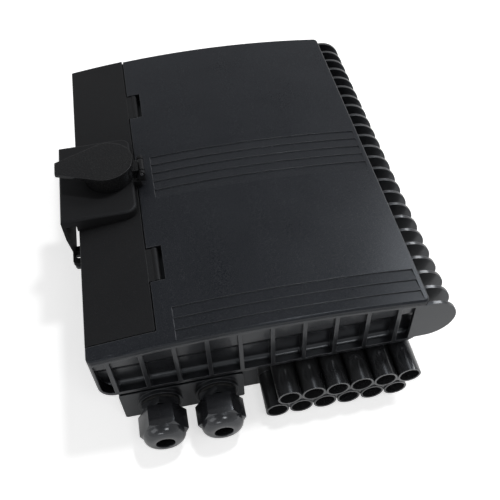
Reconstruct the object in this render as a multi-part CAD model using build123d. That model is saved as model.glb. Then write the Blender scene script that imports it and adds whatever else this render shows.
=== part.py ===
from build123d import *
import math
import os

# Fibre access terminal box, in millimetres.
# X runs from the latch side to the hinge side, Y from the cable ports to the far end, Z from the
# flat back up through the domed lid. The origin is the centre of the flat back.

# Driving sizes of the housing
WIDTH = 240.0
LENGTH = 320.0
RIM_Z = 86.0
ARCH_RISE = 8.0
TRAY_HEIGHT = 38.0
WALL_INSET = 8.0
TRAY_INSET_LEFT = 12.0
TRAY_INSET_RIGHT = 3.0
TRAY_CEILING = 2.2
WALL = 3.0
PLAN_RADIUS = 4.0
TRAY_RADIUS = 10.0
SKIRT_CORNER_RADIUS = 12.0

# Ribbed skirt at both ends
RIB_PITCH = 22.9
RIB_THICKNESS = 3.0
RIB_COUNT = 10
POCKET_DEPTH = 8.4
POCKET_SHOULDER_Z = 75.0
POCKET_ROOT_RADIUS = 4.0
SKIRT_LIP = 6.0
RIM_BAND = 2.4
SIDE_POCKET_DEPTH = 3.2
SIDE_POCKET_PITCH = 26.0
SIDE_POCKET_COUNT = 11
FLAP_SEAT_DEPTH = 3.6
FLAP_SEAT_DROP = 18.0
RIB_SHIFT_X = -4.0
SKIRT_EDGE = 3.0

# Lid
LID_THICKNESS = 5.0
LID_SKIN = 2.8
LID_SHELF = 2.0
LID_GAP = 0.3
LID_EDGE_RADIUS = 1.8
LID_RIM_WIDTH = 14.0
STEP_DEPTH = 0.8
STEP_PITCH = 9.5
STEP_LEFT_X = -58.0
STEP_RIGHT_X = 116.0
MIDDLE_STEPS_Y = 21.0
MIDDLE_STEP_COUNT = 5
FRONT_STEPS_Y = -131.5
FRONT_STEP_COUNT = 3
LID_RIB_THICKNESS = 2.0
LID_RIB_HEIGHT = 4.0
LID_RIB_XS = (-30.0, 20.0, 70.0)
LID_RIB_YS = (-95.0, -32.0, 32.0, 95.0)
LID_RIB_LEFT_X = -48.0
LID_RIB_END = 6.0
KNUCKLE_POCKET_WALL = 2.0

# Gasket and its groove
GASKET_WIDTH = 3.0
GASKET_DEPTH = 2.8
GROOVE_CLEARANCE = 0.2
GROOVE_INSET = 5.8

# Hinge
HINGE_X = 123.0
HINGE_Z = 65.0
HINGE_PLATE_RADIUS = 20.4
HINGE_PLATE_COUNT = 24
HINGE_PLATE_THICKNESS = 2.6
HINGE_PIN_RADIUS = 2.5
RUNNING_CLEARANCE = 0.05
HINGE_BOSS_RADIUS = 5.2
HINGE_ARM_THICKNESS = 3.4
HINGE_ARM_GAP = 0.8
HINGE_ARM_EVERY = 4
HINGE_ROD_GAP = 0.3

# Latch flap
FLAP_SEAM_X = -70.3
FLAP_GAP = 1.0
FLAP_FRONT_Y = -148.2
FLAP_THICKNESS = 2.4
FLAP_SKIRT = 14.0
FLAP_SKIRT_THICKNESS = 2.4
KNUCKLE_Y = 90.5
KNUCKLE_LENGTH = 30.0
KNUCKLE_RADIUS = 2.8
KNUCKLE_X = -65.0
KNUCKLE_DEPTH = 2.9
FLAP_PIN_RADIUS = 1.6
FLAP_PIN_BITE = 4.5
WINDOW_RIGHT_X = -59.3
WINDOW_CLEARANCE = 1.0
GRIP_Y = 118.0
GRIP_LENGTH = 34.0
GRIP_REACH = 2.4

# Lock bracket, lock and dust cap
LOCK_X = -91.5
LOCK_Y = 0.0
BRACKET_HALF_LENGTH = 42.0
BRACKET_LEFT_X = -131.5
BRACKET_RIGHT_X = -73.0
BRACKET_TOP_Z = 103.5
BRACKET_WALL = 2.8
BRACKET_CORNER_RADIUS = 8.0
STRAP_BOTTOM_Z = 57.0
STRAP_TAPER = 8.0
STRAP_TAPER_HEIGHT = 26.0
EAR_THICKNESS = 3.2
EAR_LENGTH = 18.0
EAR_HOLE_RADIUS = 3.5
EAR_GAP = 1.0
BARREL_RADIUS = 8.0
BARREL_HEAD_RADIUS = 10.0
BARREL_HEAD_HEIGHT = 5.0
HOUSING_RADIUS = 13.5
HOUSING_HEIGHT = 9.0
CAM_THICKNESS = 2.0
CAM_LENGTH = 33.0
CAM_WIDTH = 9.0
CAM_HUB_RADIUS = 7.0
CAM_SQUARE = 6.0
STRIKE_OUTER_X = -124.4
STRIKE_THICKNESS = 3.0
STRIKE_FRONT = 9.0
STRIKE_BACK = 21.0
CAP_RADIUS = 21.0
CAP_HEIGHT = 16.0
CAP_WALL = 2.0
CAP_TAB_X = -131.0
CAP_TAB_WIDTH = 13.0
CAP_HINGE_X = -65.5
CAP_PIN_RADIUS = 1.3
CAP_KNUCKLE_RADIUS = 2.6
CAP_TOP_THICKNESS = 2.6
CAP_TAPER = 1.6
CAP_LUG_HALF_WIDTH = 5.8
CAP_LUG_THICKNESS = 2.8
CHEEK_NEAR = 7.0
CHEEK_FAR = 10.0

# Cable glands
GLAND_XS = (-79.0, -36.5)
GLAND_Z = 21.0
GLAND_BOSS_RADIUS = 16.5
GLAND_BLOCK_LEFT = 28.5
GLAND_BLOCK_RIGHT = 21.0
GLAND_BLOCK_FOOT = 3.6
GLAND_BOSS_REACH = 3.0
GLAND_WALL = 5.0
GLAND_COUNTERBORE_RADIUS = 15.4
GLAND_THREAD_RADIUS = 11.1
GLAND_HOLE_CLEARANCE = 0.2
GLAND_HEX = 27.0
GLAND_WASHER_RADIUS = 14.5
GLAND_WASHER_THICKNESS = 1.5
GLAND_FLANGE_THICKNESS = 5.5
GLAND_FRONT_THREAD = 10.0
GLAND_BODY_BORE_RADIUS = 7.2
NUT_HEX_LENGTH = 14.5
NUT_DOME_LENGTH = 9.0
NUT_GAP = 1.2
NUT_MOUTH_RADIUS = 6.8
NUT_NOSE_LIP = 1.6
SEAL_BORE_RADIUS = 5.5
SEAL_LENGTH = 8.0
LOCKNUT_THICKNESS = 4.0
LOCKNUT_HEX = 25.0
THREAD_STEP = 0.6

# Bank of drop cable tubes
TUBE_COUNT = 6
TUBE_PITCH = 18.3
TUBE_RADIUS = 8.8
TUBE_BORE_RADIUS = 7.4
TUBE_FIRST_X = 15.0
TUBE_LOWER_Z = 12.2
TUBE_REACH = 22.0
BANK_FLANGE = 2.8
BANK_BORDER = 1.2
BANK_CLEARANCE = 0.2

# Inside fittings
ADAPTER_COUNT = 12
ADAPTER_PITCH = 14.0
ADAPTER_X = 18.0
ADAPTER_Y = -73.0
ADAPTER_Z = 38.0
ADAPTER_WIDTH = 9.2
ADAPTER_HEIGHT = 12.6
ADAPTER_LENGTH = 27.0
ADAPTER_FLANGE = 2.0
ADAPTER_SIDE_WALL = 1.1
ADAPTER_CROWN_WALL = 1.6
ADAPTER_CLEARANCE = 0.15
PANEL_THICKNESS = 1.5
PANEL_HEIGHT = 50.0
PANEL_FOOT = 14.0
PANEL_SEAT_Z = 8.0
PLUG_LENGTH = 7.0
SPLICE_TRAY_SIDE_GAP = 5.0
SPLICE_TRAY_Y = 34.0
SPLICE_TRAY_SIZE = (168.0, 116.0)
SPLICE_TRAY_Z = 30.0
SPLICE_TRAY_HEIGHT = 11.0
SPLICE_TRAY_WALL = 1.6
SPLICE_TRAY_RADIUS = 14.0
TRAY_BOSS_RADIUS = 5.0
TRAY_BOSS_HEIGHT = 4.0
POST_INSET = 8.0
DRUM_SHIFT_Y = -12.0
COMB_SLOTS = 7
COMB_PITCH = 5.2
COMB_WALL = 1.4
COMB_HALF_WIDTH = 16.0
TRAY_GATE_X = 60.0
TRAY_GATE_HALF_WIDTH = 9.0
COVER_THICKNESS = 1.2
DRUM_HALF_LENGTH = 60.0
DRUM_RADIUS = 24.0
POST_RADIUS = 4.5
SCREW_RADIUS = 1.7
SCREW_HEAD_RADIUS = 3.4
SCREW_HEAD_HEIGHT = 2.2
SCREW_CLEARANCE = 0.2
SPLITTER_SIZE = (100.0, 80.0, 10.0)
SPLITTER_CLEARANCE = 0.3
CLIP_THICKNESS = 2.0
CLIP_SHARE = 0.7
CLAMP_Y = -115.0
CLAMP_LENGTH = 12.0
CLAMP_CABLE_RADIUS = 6.3
CLAMP_STRAP = 1.5
CLAMP_HALF_WIDTH = 14.5
CLAMP_SCREW_OFFSET = 11.2
CLAMP_SEAT_Z = 20.5
ANCHOR_Y = -91.0
ANCHOR_HEIGHT = 20.0
ANCHOR_PLATE = 1.5
ANCHOR_PLATE_SIZE = (13.0, 10.0)
STUD_X = -96.0
STUD_Y = -98.0
STUD_RADIUS = 3.0
STUD_BOSS_RADIUS = 7.0
STUD_BOSS_HEIGHT = 6.0
STUD_REACH = 14.0
STUD_WASHER = 1.2
STUD_NUT_HEX = 10.0
STUD_NUT_HEIGHT = 5.0
MOUNT_SPACING_X = 190.0
MOUNT_SPACING_Y = 264.0
MOUNT_HOLE_RADIUS = 2.75
MOUNT_BOSS_RADIUS = 6.0
MOUNT_BOSS_HEIGHT = 3.0

# Sizes that follow from the driving ones
HALF_W = WIDTH / 2
HALF_L = LENGTH / 2
FRONT_Y = -HALF_L
ARCH_R = (HALF_W ** 2 + ARCH_RISE ** 2) / (2 * ARCH_RISE)
ARCH_AXIS_Z = RIM_Z + ARCH_RISE - ARCH_R
WALL_HALF_W = HALF_W - WALL_INSET
TRAY_HALF_L = HALF_L - WALL_INSET
TRAY_LEFT_X = TRAY_INSET_LEFT - HALF_W
TRAY_RIGHT_X = HALF_W - TRAY_INSET_RIGHT
CAVITY_HALF_W = WALL_HALF_W - WALL
CAVITY_HALF_L = TRAY_HALF_L - WALL
TRAY_CENTRE = (CAVITY_HALF_W - SPLICE_TRAY_SIDE_GAP - SPLICE_TRAY_SIZE[0] / 2, SPLICE_TRAY_Y)
HIGH = RIM_Z + 60.0
FLOOR_Z = WALL
SKIRT_LEDGE_Z = TRAY_HEIGHT + SKIRT_LIP
TRAY_FRONT_Y = -TRAY_HALF_L
RIM_SIDE_X = HALF_W - 4.0
RIM_UNDER_Z = RIM_Z - 6.0
GROOVE_HALF_X = CAVITY_HALF_W + (RIM_SIDE_X - CAVITY_HALF_W) / 2
GROOVE_HALF_Y = HALF_L - GROOVE_INSET
FLAP_UNDERSIDE = LID_THICKNESS - FLAP_THICKNESS
FLAP_RIGHT_X = FLAP_SEAM_X - FLAP_GAP
HINGE_PITCH = (LENGTH - HINGE_PLATE_THICKNESS) / (HINGE_PLATE_COUNT - 1)


def arch_z(x, lift=0.0):
    """Height of the domed parting face at x, raised by lift along its radius."""
    return ARCH_AXIS_Z + math.sqrt((ARCH_R + lift) ** 2 - x ** 2)


KNUCKLE_Z = arch_z(KNUCKLE_X, LID_THICKNESS) - KNUCKLE_DEPTH
BRACKET_INNER_Z = BRACKET_TOP_Z - BRACKET_WALL
CAM_Z = arch_z(LOCK_X, LID_THICKNESS) + 1.3
STRIKE_BAR_Z = CAM_Z + CAM_THICKNESS + 0.4
CAP_BASE_Z = BRACKET_TOP_Z + 0.3
CAP_TOP_Z = CAP_BASE_Z + CAP_HEIGHT
CAP_HINGE_Z = BRACKET_TOP_Z + 5.5
BOSS_FACE_Y = FRONT_Y - GLAND_BOSS_REACH
TUBE_END_Y = FRONT_Y - TUBE_REACH
TUBE_UPPER_Z = TUBE_LOWER_Z + TUBE_PITCH * math.sqrt(3) / 2


def polygon(points, radius=0.0):
    """Flat face inside a closed outline, with its corners rounded if a radius is given."""
    if radius:
        return make_face(FilletPolyline(*points, radius=radius, close=True))
    return make_face(Polyline(*points, close=True))


def along_x(face, low, high):
    """Solid from a face drawn in (y, z), between two x places."""
    plane = Plane(origin=(low, 0, 0), x_dir=(0, 1, 0), z_dir=(1, 0, 0))
    return extrude(plane * face, amount=high - low)


def along_y(face, low, high):
    """Solid from a face drawn in (x, z), between two y places."""
    plane = Plane(origin=(0, high, 0), x_dir=(1, 0, 0), z_dir=(0, -1, 0))
    return extrude(plane * face, amount=high - low)


def along_z(face, low, high):
    """Solid from a face drawn in (x, y), between two heights."""
    return extrude(Plane.XY.offset(low) * face, amount=high - low)


def block(x0, x1, y0, y1, z0, z1):
    """Square block between two corners."""
    centre = ((x0 + x1) / 2, (y0 + y1) / 2, (z0 + z1) / 2)
    return Pos(*centre) * Box(x1 - x0, y1 - y0, z1 - z0)


def rod_y(x, z, radius, y0, y1):
    """Round bar along Y."""
    return Pos(x, (y0 + y1) / 2, z) * Rot(90, 0, 0) * Cylinder(radius, y1 - y0)


def rod_z(x, y, radius, z0, z1):
    """Round bar along Z."""
    return Pos(x, y, (z0 + z1) / 2) * Cylinder(radius, z1 - z0)


def hex_y(x, z, across_flats, y0, y1):
    """Hexagonal bar along Y with a flat on top."""
    face = Pos(x, z) * RegularPolygon(across_flats / math.sqrt(3), 6, rotation=30)
    return along_y(face, y0, y1)


def rounded_plan(half_x, half_y, radius, z0, z1, x=0.0, y=0.0):
    """Upright block with a rounded rectangular plan."""
    return along_z(Pos(x, y) * RectangleRounded(2 * half_x, 2 * half_y, radius), z0, z1)


def arch_slab(low, high, x0, x1, y0, y1):
    """Slab that follows the dome, between two lifts above the parting face."""
    middle = (x0 + x1) / 2
    under = ThreePointArc((x0, arch_z(x0, low)), (middle, arch_z(middle, low)), (x1, arch_z(x1, low)))
    over = ThreePointArc((x1, arch_z(x1, high)), (middle, arch_z(middle, high)), (x0, arch_z(x0, high)))
    right = Line(under @ 1, over @ 0)
    left = Line(over @ 1, under @ 0)
    return along_y(make_face([under, right, over, left]), y0, y1)


def under_arch(lift, x0, x1, y0, y1, z0):
    """Block with a flat foot at z0 and the dome, raised by lift, as its top."""
    middle = (x0 + x1) / 2
    over = ThreePointArc((x1, arch_z(x1, lift)), (middle, arch_z(middle, lift)), (x0, arch_z(x0, lift)))
    left = Line(over @ 1, (x0, z0))
    foot = Line((x0, z0), (x1, z0))
    right = Line((x1, z0), over @ 0)
    return along_y(make_face([over, left, foot, right]), y0, y1)


def skirt_outline(inset, lift, foot_z, corner_radius, y0, y1):
    """Front outline of the skirt, domed on top and rounded at its two lower corners."""
    x = HALF_W - inset
    r = corner_radius
    side = r * math.sqrt(0.5)
    over = ThreePointArc((x, arch_z(x, lift)), (0, arch_z(0, lift)), (-x, arch_z(x, lift)))
    left = Line(over @ 1, (-x, foot_z + r))
    low_left = ThreePointArc((-x, foot_z + r), (r - x - side, foot_z + r - side), (r - x, foot_z))
    foot = Line((r - x, foot_z), (x - r, foot_z))
    low_right = ThreePointArc((x - r, foot_z), (x - r + side, foot_z + r - side), (x, foot_z + r))
    right = Line((x, foot_z + r), over @ 0)
    return along_y(make_face([over, left, low_left, foot, low_right, right]), y0, y1)


def mirrored_y(solid):
    """Copy of a solid reflected to the other end of the box."""
    return mirror(solid, about=Plane.XZ)


# Skirt pockets between the ribs
def rib_places():
    """X places of the ribs, left to right."""
    first = RIB_SHIFT_X - (RIB_COUNT - 1) / 2 * RIB_PITCH
    return [first + i * RIB_PITCH for i in range(RIB_COUNT)]


def front_pockets():
    """All pockets of the front skirt as one cutting solid."""
    half = RIB_THICKNESS / 2
    face_y = FRONT_Y
    back_y = FRONT_Y + POCKET_DEPTH
    root = POCKET_ROOT_RADIUS
    turn = root * (1 - math.sqrt(0.5))
    low_z = SKIRT_LEDGE_Z
    high_z = RIM_Z + ARCH_RISE + 4.0
    floor_line = Line((face_y - 2, low_z), (back_y - root, low_z))
    corner = ThreePointArc((back_y - root, low_z), (back_y - turn, low_z + turn), (back_y, low_z + root))
    shoulder = [(back_y, POCKET_SHOULDER_Z - 12.0), (face_y + 2.6, POCKET_SHOULDER_Z), (face_y + 1.2, high_z)]
    rest = Polyline((back_y, low_z + root), *shoulder, (face_y - 2, high_z), (face_y - 2, low_z))
    profile = make_face([floor_line, corner, rest])
    edges = [SKIRT_EDGE - HALF_W] + rib_places() + [HALF_W - SKIRT_EDGE + 0.5]
    cells = []
    for i, left in enumerate(edges[:-1]):
        start = left + (half if i else 0.0)
        end = edges[i + 1] - (half if i < RIB_COUNT else 0.0)
        cells.append(along_x(profile, start, end))
    radius = SKIRT_CORNER_RADIUS - SKIRT_EDGE
    window = skirt_outline(SKIRT_EDGE, -RIM_BAND, low_z, radius, FRONT_Y - 3, back_y + 1)
    return Part() + cells & window


def side_pockets():
    """Shallow pockets low on the latch side of the skirt, clear of the padlock ledge."""
    low = SKIRT_LEDGE_Z + 1.0
    high = RIM_Z - FLAP_SEAT_DROP - 4.0
    half = (SIDE_POCKET_PITCH - RIB_THICKNESS) / 2
    places = [SIDE_POCKET_PITCH * (i - (SIDE_POCKET_COUNT - 1) / 2) for i in range(SIDE_POCKET_COUNT)]
    clear = BRACKET_HALF_LENGTH + half + 8
    kept = [y for y in places if abs(y - LOCK_Y) > clear and abs(y) < HALF_L - 20 - half]
    outer = -HALF_W - 1.0
    inner = -HALF_W + FLAP_SEAT_DEPTH + SIDE_POCKET_DEPTH
    return [block(outer, inner, y - half, y + half, low, high) for y in kept]


def hinge_plate_y(index):
    """Y place of the middle of a hinge plate, counted from the front."""
    return FRONT_Y + HINGE_PLATE_THICKNESS / 2 + index * HINGE_PITCH


def hinge_plate(index, root, bored=True):
    """One D-shaped hinge plate, with its root drawn as a list of (x, z) points from top to foot."""
    top = HINGE_Z + HINGE_PLATE_RADIUS
    foot = HINGE_Z - HINGE_PLATE_RADIUS
    arc = ThreePointArc((HINGE_X, foot), (HINGE_X + HINGE_PLATE_RADIUS, HINGE_Z), (HINGE_X, top))
    edge = Polyline((HINGE_X, top), *root, (HINGE_X, foot))
    face = make_face([arc, edge])
    if bored:
        face -= Pos(HINGE_X, HINGE_Z) * Circle(HINGE_PIN_RADIUS + RUNNING_CLEARANCE)
    half = HINGE_PLATE_THICKNESS / 2
    y = hinge_plate_y(index)
    return along_y(face, y - half, y + half)


def end_plates():
    """First and last hinge plate, which run into the skirt; the first one is blind and stops the rod."""
    root_x = CAVITY_HALF_W + 1.0
    root = [(root_x, HINGE_Z + HINGE_PLATE_RADIUS), (root_x, HINGE_Z - HINGE_PLATE_RADIUS)]
    return [hinge_plate(0, root, False), hinge_plate(HINGE_PLATE_COUNT - 1, root)]


def hinge_plates():
    """Row of hinge plates between the two end ones, set against the wall and under the rim."""
    top = HINGE_Z + HINGE_PLATE_RADIUS
    foot = HINGE_Z - HINGE_PLATE_RADIUS
    root = [(RIM_SIDE_X, top), (RIM_SIDE_X, RIM_UNDER_Z), (WALL_HALF_W, RIM_UNDER_Z), (WALL_HALF_W, foot)]
    return [hinge_plate(i, root) for i in range(1, HINGE_PLATE_COUNT - 1)]


def gasket_ring(width, low, high):
    """Ring along the rim, between two lifts from the parting face."""
    half = width / 2
    outer = RectangleRounded(2 * (GROOVE_HALF_X + half), 2 * (GROOVE_HALF_Y + half), 6.0)
    inner = RectangleRounded(2 * (GROOVE_HALF_X - half), 2 * (GROOVE_HALF_Y - half), 6.0 - width)
    frame = along_z(outer - inner, RIM_Z - 10, HIGH)
    return frame & arch_slab(low, high, -HALF_W, HALF_W, FRONT_Y, HALF_L)


def mount_places():
    """Four screw places in the floor."""
    x = MOUNT_SPACING_X / 2
    y = MOUNT_SPACING_Y / 2
    return [(-x, -y), (x, -y), (-x, y), (x, y)]


def tray_posts():
    """Places of the four posts that carry the splice tray."""
    cx, cy = TRAY_CENTRE
    x = SPLICE_TRAY_SIZE[0] / 2 - POST_INSET
    y = SPLICE_TRAY_SIZE[1] / 2 - POST_INSET
    return [(cx - x, cy - y), (cx + x, cy - y), (cx - x, cy + y), (cx + x, cy + y)]


def panel_feet():
    """X places of the screws that hold the adapter panel."""
    reach = ADAPTER_PITCH * (ADAPTER_COUNT - 1) / 2
    return [ADAPTER_X - reach, ADAPTER_X + reach]


def panel_foot_y():
    """Y place of the adapter panel's foot screws."""
    return ADAPTER_Y + PANEL_THICKNESS / 2 + PANEL_FOOT / 2


def bank_window(grow, y0, y1):
    """Rectangular block round all the drop tubes, grown by a margin."""
    left = TUBE_FIRST_X - TUBE_PITCH / 2 - TUBE_RADIUS - grow
    right = TUBE_FIRST_X + (TUBE_COUNT - 1) * TUBE_PITCH + TUBE_RADIUS + grow
    low = TUBE_LOWER_Z - TUBE_RADIUS - grow
    high = TUBE_UPPER_Z + TUBE_RADIUS + grow
    return block(left, right, y0, y1, low, high)


def tube_places():
    """Centres of the drop tubes, upper row first."""
    upper = [(TUBE_FIRST_X + i * TUBE_PITCH, TUBE_UPPER_Z) for i in range(TUBE_COUNT)]
    lower = [(TUBE_FIRST_X + (i - 0.5) * TUBE_PITCH, TUBE_LOWER_Z) for i in range(TUBE_COUNT)]
    return upper + lower


# Base shell
def tray_prism(inset, z0, z1, right_x=TRAY_RIGHT_X):
    """Rounded plan of the lower tray, shrunk by an inset."""
    half_x = (right_x - TRAY_LEFT_X) / 2 - inset
    middle = (right_x + TRAY_LEFT_X) / 2
    return rounded_plan(half_x, TRAY_HALF_L - inset, TRAY_RADIUS - inset, z0, z1, middle)


def base_shell():
    skirt = skirt_outline(0.0, 0.0, TRAY_HEIGHT, SKIRT_CORNER_RADIUS, FRONT_Y, HALF_L)
    skirt = fillet(skirt.edges().filter_by(Axis.Z), PLAN_RADIUS)
    tray = tray_prism(0.0, 0, TRAY_HEIGHT) + tray_prism(0.0, 0, TRAY_HEIGHT + 5, WALL_HALF_W)
    tray = fillet(tray.edges().group_by(Axis.Z)[0], 3.0)
    shell = skirt + tray
    shell -= tray_prism(WALL, FLOOR_Z, TRAY_HEIGHT - TRAY_CEILING)
    shell -= tray_prism(WALL, FLOOR_Z, TRAY_HEIGHT + WALL + 1, WALL_HALF_W)
    shell -= rounded_plan(CAVITY_HALF_W, CAVITY_HALF_L, TRAY_RADIUS - WALL, TRAY_HEIGHT + WALL, HIGH)
    pockets = front_pockets()
    shell -= pockets
    shell -= mirrored_y(pockets)
    shell -= side_pockets()
    # Right side opened up for the hinge plates, leaving the wall and the rim
    outer_x = HALF_W + 1
    first_gap = HALF_L - HINGE_PLATE_THICKNESS
    wall_x = WALL_HALF_W
    end_y = CAVITY_HALF_L
    shell -= block(wall_x, outer_x, -end_y, end_y, TRAY_HEIGHT, RIM_UNDER_Z)
    shell -= block(RIM_SIDE_X, outer_x, -first_gap, first_gap, TRAY_HEIGHT, HIGH)
    shell += end_plates()
    # Seat for the flap's side skirt
    seat_x = -HALF_W + FLAP_SEAT_DEPTH
    shell -= block(-outer_x, seat_x, FLAP_FRONT_Y, HALF_L + 1, RIM_Z - FLAP_SEAT_DROP, HIGH)
    shell -= gasket_ring(GASKET_WIDTH + 2 * GROOVE_CLEARANCE, -GASKET_DEPTH, 2.0)
    # Window behind the gland block
    reach = GLAND_COUNTERBORE_RADIUS
    low_x = GLAND_XS[0] - reach
    high_x = GLAND_XS[1] + reach
    wall_y = TRAY_FRONT_Y + WALL + 0.4
    shell -= block(low_x, high_x, TRAY_FRONT_Y - 1, wall_y, GLAND_Z - reach, GLAND_Z + reach - 1.0)
    shell -= bank_window(BANK_BORDER / 2, TRAY_FRONT_Y - 1, wall_y + BANK_FLANGE)
    shell += strike()
    shell += padlock_ledge()
    shell += floor_fittings()
    shell -= [rod_z(x, y, MOUNT_HOLE_RADIUS, -1, FLOOR_Z + 8) for x, y in mount_places()]
    return shell


def gland_block():
    """Block on the front wall that carries both glands, with holes counterbored from inside."""
    left = GLAND_XS[0] - GLAND_BLOCK_LEFT
    right = GLAND_XS[1] + GLAND_BLOCK_RIGHT
    body = block(left, right, FRONT_Y, TRAY_FRONT_Y, GLAND_BLOCK_FOOT, TRAY_HEIGHT - BANK_CLEARANCE)
    body = fillet(body.edges().filter_by(Axis.Y), 2.0)
    hole = GLAND_THREAD_RADIUS + GLAND_HOLE_CLEARANCE
    for x in GLAND_XS:
        body += rod_y(x, GLAND_Z, GLAND_BOSS_RADIUS, BOSS_FACE_Y, FRONT_Y + 1)
        body -= rod_y(x, GLAND_Z, hole, BOSS_FACE_Y - 1, TRAY_FRONT_Y + 1)
        body -= rod_y(x, GLAND_Z, GLAND_COUNTERBORE_RADIUS, BOSS_FACE_Y + GLAND_WALL, TRAY_FRONT_Y + 1)
    return body


def strike():
    """Hook on the latch side that the lock's cam turns under."""
    inner_x = STRIKE_OUTER_X + STRIKE_THICKNESS
    wall_x = -HALF_W + FLAP_SEAT_DEPTH
    y0 = LOCK_Y - STRIKE_FRONT
    y1 = LOCK_Y + STRIKE_BACK
    foot_high = RIM_Z - FLAP_SEAT_DROP - 2
    foot_low = foot_high - 10
    foot = block(STRIKE_OUTER_X, wall_x, y0, y1, foot_low, foot_high)
    plate = block(STRIKE_OUTER_X, inner_x, y0, y1, foot_low, STRIKE_BAR_Z + 2.0)
    slot = block(STRIKE_OUTER_X - 1, inner_x + 1, y0 + 3.8, y1 + 1, CAM_Z - 3.0, STRIKE_BAR_Z)
    return foot + plate - slot


def padlock_ledge():
    """Ledge under the strap's ear, notched for a padlock's shackle."""
    centre_y = LOCK_Y - BRACKET_HALF_LENGTH + 3
    top = STRAP_BOTTOM_Z - EAR_GAP
    hole_x = (BRACKET_LEFT_X + STRIKE_OUTER_X + STRIKE_THICKNESS) / 2
    low_y = centre_y - EAR_LENGTH / 2
    high_y = centre_y + EAR_LENGTH / 2
    ledge = block(BRACKET_LEFT_X + 0.5, -HALF_W + 2, low_y, high_y, top - EAR_THICKNESS, top)
    ledge = fillet(ledge.edges().filter_by(Axis.Z).group_by(Axis.X)[0], 3.0)
    r = EAR_HOLE_RADIUS
    notch = rod_z(hole_x, centre_y, r, top - 5, top + 1)
    mouth = block(BRACKET_LEFT_X - 1, hole_x, centre_y - r, centre_y + r, top - 5, top + 1)
    return ledge - notch - mouth


def floor_fittings():
    """Bosses, posts and cradles that stand on the floor."""
    under = FLOOR_Z - 1
    boss_top = FLOOR_Z + MOUNT_BOSS_HEIGHT
    parts = [rod_z(x, y, MOUNT_BOSS_RADIUS, under, boss_top) for x, y in mount_places()]
    posts = [rod_z(x, y, POST_RADIUS, under, SPLICE_TRAY_Z) for x, y in tray_posts()]
    pilots = [rod_z(x, y, SCREW_RADIUS, SPLICE_TRAY_Z - 9, SPLICE_TRAY_Z + 1) for x, y in tray_posts()]
    parts += [post - pilot for post, pilot in zip(posts, pilots)]
    for x in panel_feet():
        pilot = rod_z(x, panel_foot_y(), SCREW_RADIUS, FLOOR_Z, PANEL_SEAT_Z + 1)
        parts.append(rod_z(x, panel_foot_y(), POST_RADIUS, under, PANEL_SEAT_Z) - pilot)
    for x in GLAND_XS:
        parts.append(cable_cradle(x))
        pilot = rod_z(x, ANCHOR_Y, SCREW_RADIUS, FLOOR_Z + 6, ANCHOR_HEIGHT + 1)
        parts.append(rod_z(x, ANCHOR_Y, POST_RADIUS, under, ANCHOR_HEIGHT) - pilot)
    stud_top = FLOOR_Z + STUD_BOSS_HEIGHT
    stud_hole = rod_z(STUD_X, STUD_Y, STUD_RADIUS, FLOOR_Z, stud_top + 1)
    parts.append(rod_z(STUD_X, STUD_Y, STUD_BOSS_RADIUS, under, stud_top) - stud_hole)
    parts += splitter_clips()
    return parts


def cable_cradle(x):
    """Block with a round trough that a feeder cable lies in."""
    y0 = CLAMP_Y - CLAMP_LENGTH / 2
    y1 = CLAMP_Y + CLAMP_LENGTH / 2
    cradle = block(x - CLAMP_HALF_WIDTH, x + CLAMP_HALF_WIDTH, y0, y1, FLOOR_Z - 1, CLAMP_SEAT_Z)
    cradle -= rod_y(x, GLAND_Z, CLAMP_CABLE_RADIUS, y0 - 1, y1 + 1)
    for side in (-1, 1):
        pilot_x = x + side * CLAMP_SCREW_OFFSET
        cradle -= rod_z(pilot_x, CLAMP_Y, SCREW_RADIUS, CLAMP_SEAT_Z - 8, CLAMP_SEAT_Z + 1)
    return cradle


def splitter_clips():
    """Four corner clips that hold the splitter module on the floor."""
    cx, cy = TRAY_CENTRE
    half_x = SPLITTER_SIZE[0] / 2 + SPLITTER_CLEARANCE
    half_y = SPLITTER_SIZE[1] / 2 + SPLITTER_CLEARANCE
    foot = FLOOR_Z - 1
    top = FLOOR_Z + SPLITTER_SIZE[2] * CLIP_SHARE
    clips = []
    for sx in (-1, 1):
        for sy in (-1, 1):
            x = cx + sx * half_x
            y = cy + sy * (half_y - 12)
            x0, x1 = sorted((x, x + sx * CLIP_THICKNESS))
            clips.append(block(x0, x1, y - 5, y + 5, foot, top))
            y_side = cy + sy * half_y
            y0, y1 = sorted((y_side, y_side + sy * CLIP_THICKNESS))
            x_side = cx + sx * (half_x - 14)
            clips.append(block(x_side - 5, x_side + 5, y0, y1, foot, top))
    return clips


# Bank of drop tubes
def drop_tube_bank():
    places = tube_places()
    inner_y = TRAY_FRONT_Y + WALL + BANK_FLANGE
    tubes = [rod_y(x, z, TUBE_RADIUS, TUBE_END_Y, inner_y) for x, z in places]
    row = (TUBE_COUNT - 1) * TUBE_PITCH
    x_up = TUBE_FIRST_X
    x_low = TUBE_FIRST_X - TUBE_PITCH / 2
    lower = [(x_low, TUBE_LOWER_Z), (x_low + row, TUBE_LOWER_Z)]
    upper = [(x_up + row, TUBE_UPPER_Z), (x_up, TUBE_UPPER_Z)]
    bank = Part() + tubes + along_y(polygon(lower + upper), TUBE_END_Y + 0.8, inner_y)
    plug = bank_window(BANK_BORDER / 2 - BANK_CLEARANCE, TRAY_FRONT_Y, inner_y)
    bank += plug & tray_prism(0.0, 0, TRAY_HEIGHT)
    flange = bank_window(BANK_BORDER, TRAY_FRONT_Y + WALL + 0.05, inner_y)
    high = TRAY_HEIGHT - TRAY_CEILING - BANK_CLEARANCE
    flange = flange & tray_prism(WALL + BANK_CLEARANCE, FLOOR_Z + BANK_CLEARANCE, high)
    bank += flange
    bank -= [rod_y(x, z, TUBE_BORE_RADIUS, TUBE_END_Y - 1, inner_y + 1) for x, z in places]
    return bank


# Lid
def arch_axis():
    """Axis of the dome's cylinder."""
    return Axis((0, 0, ARCH_AXIS_Z), (0, 1, 0))


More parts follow.
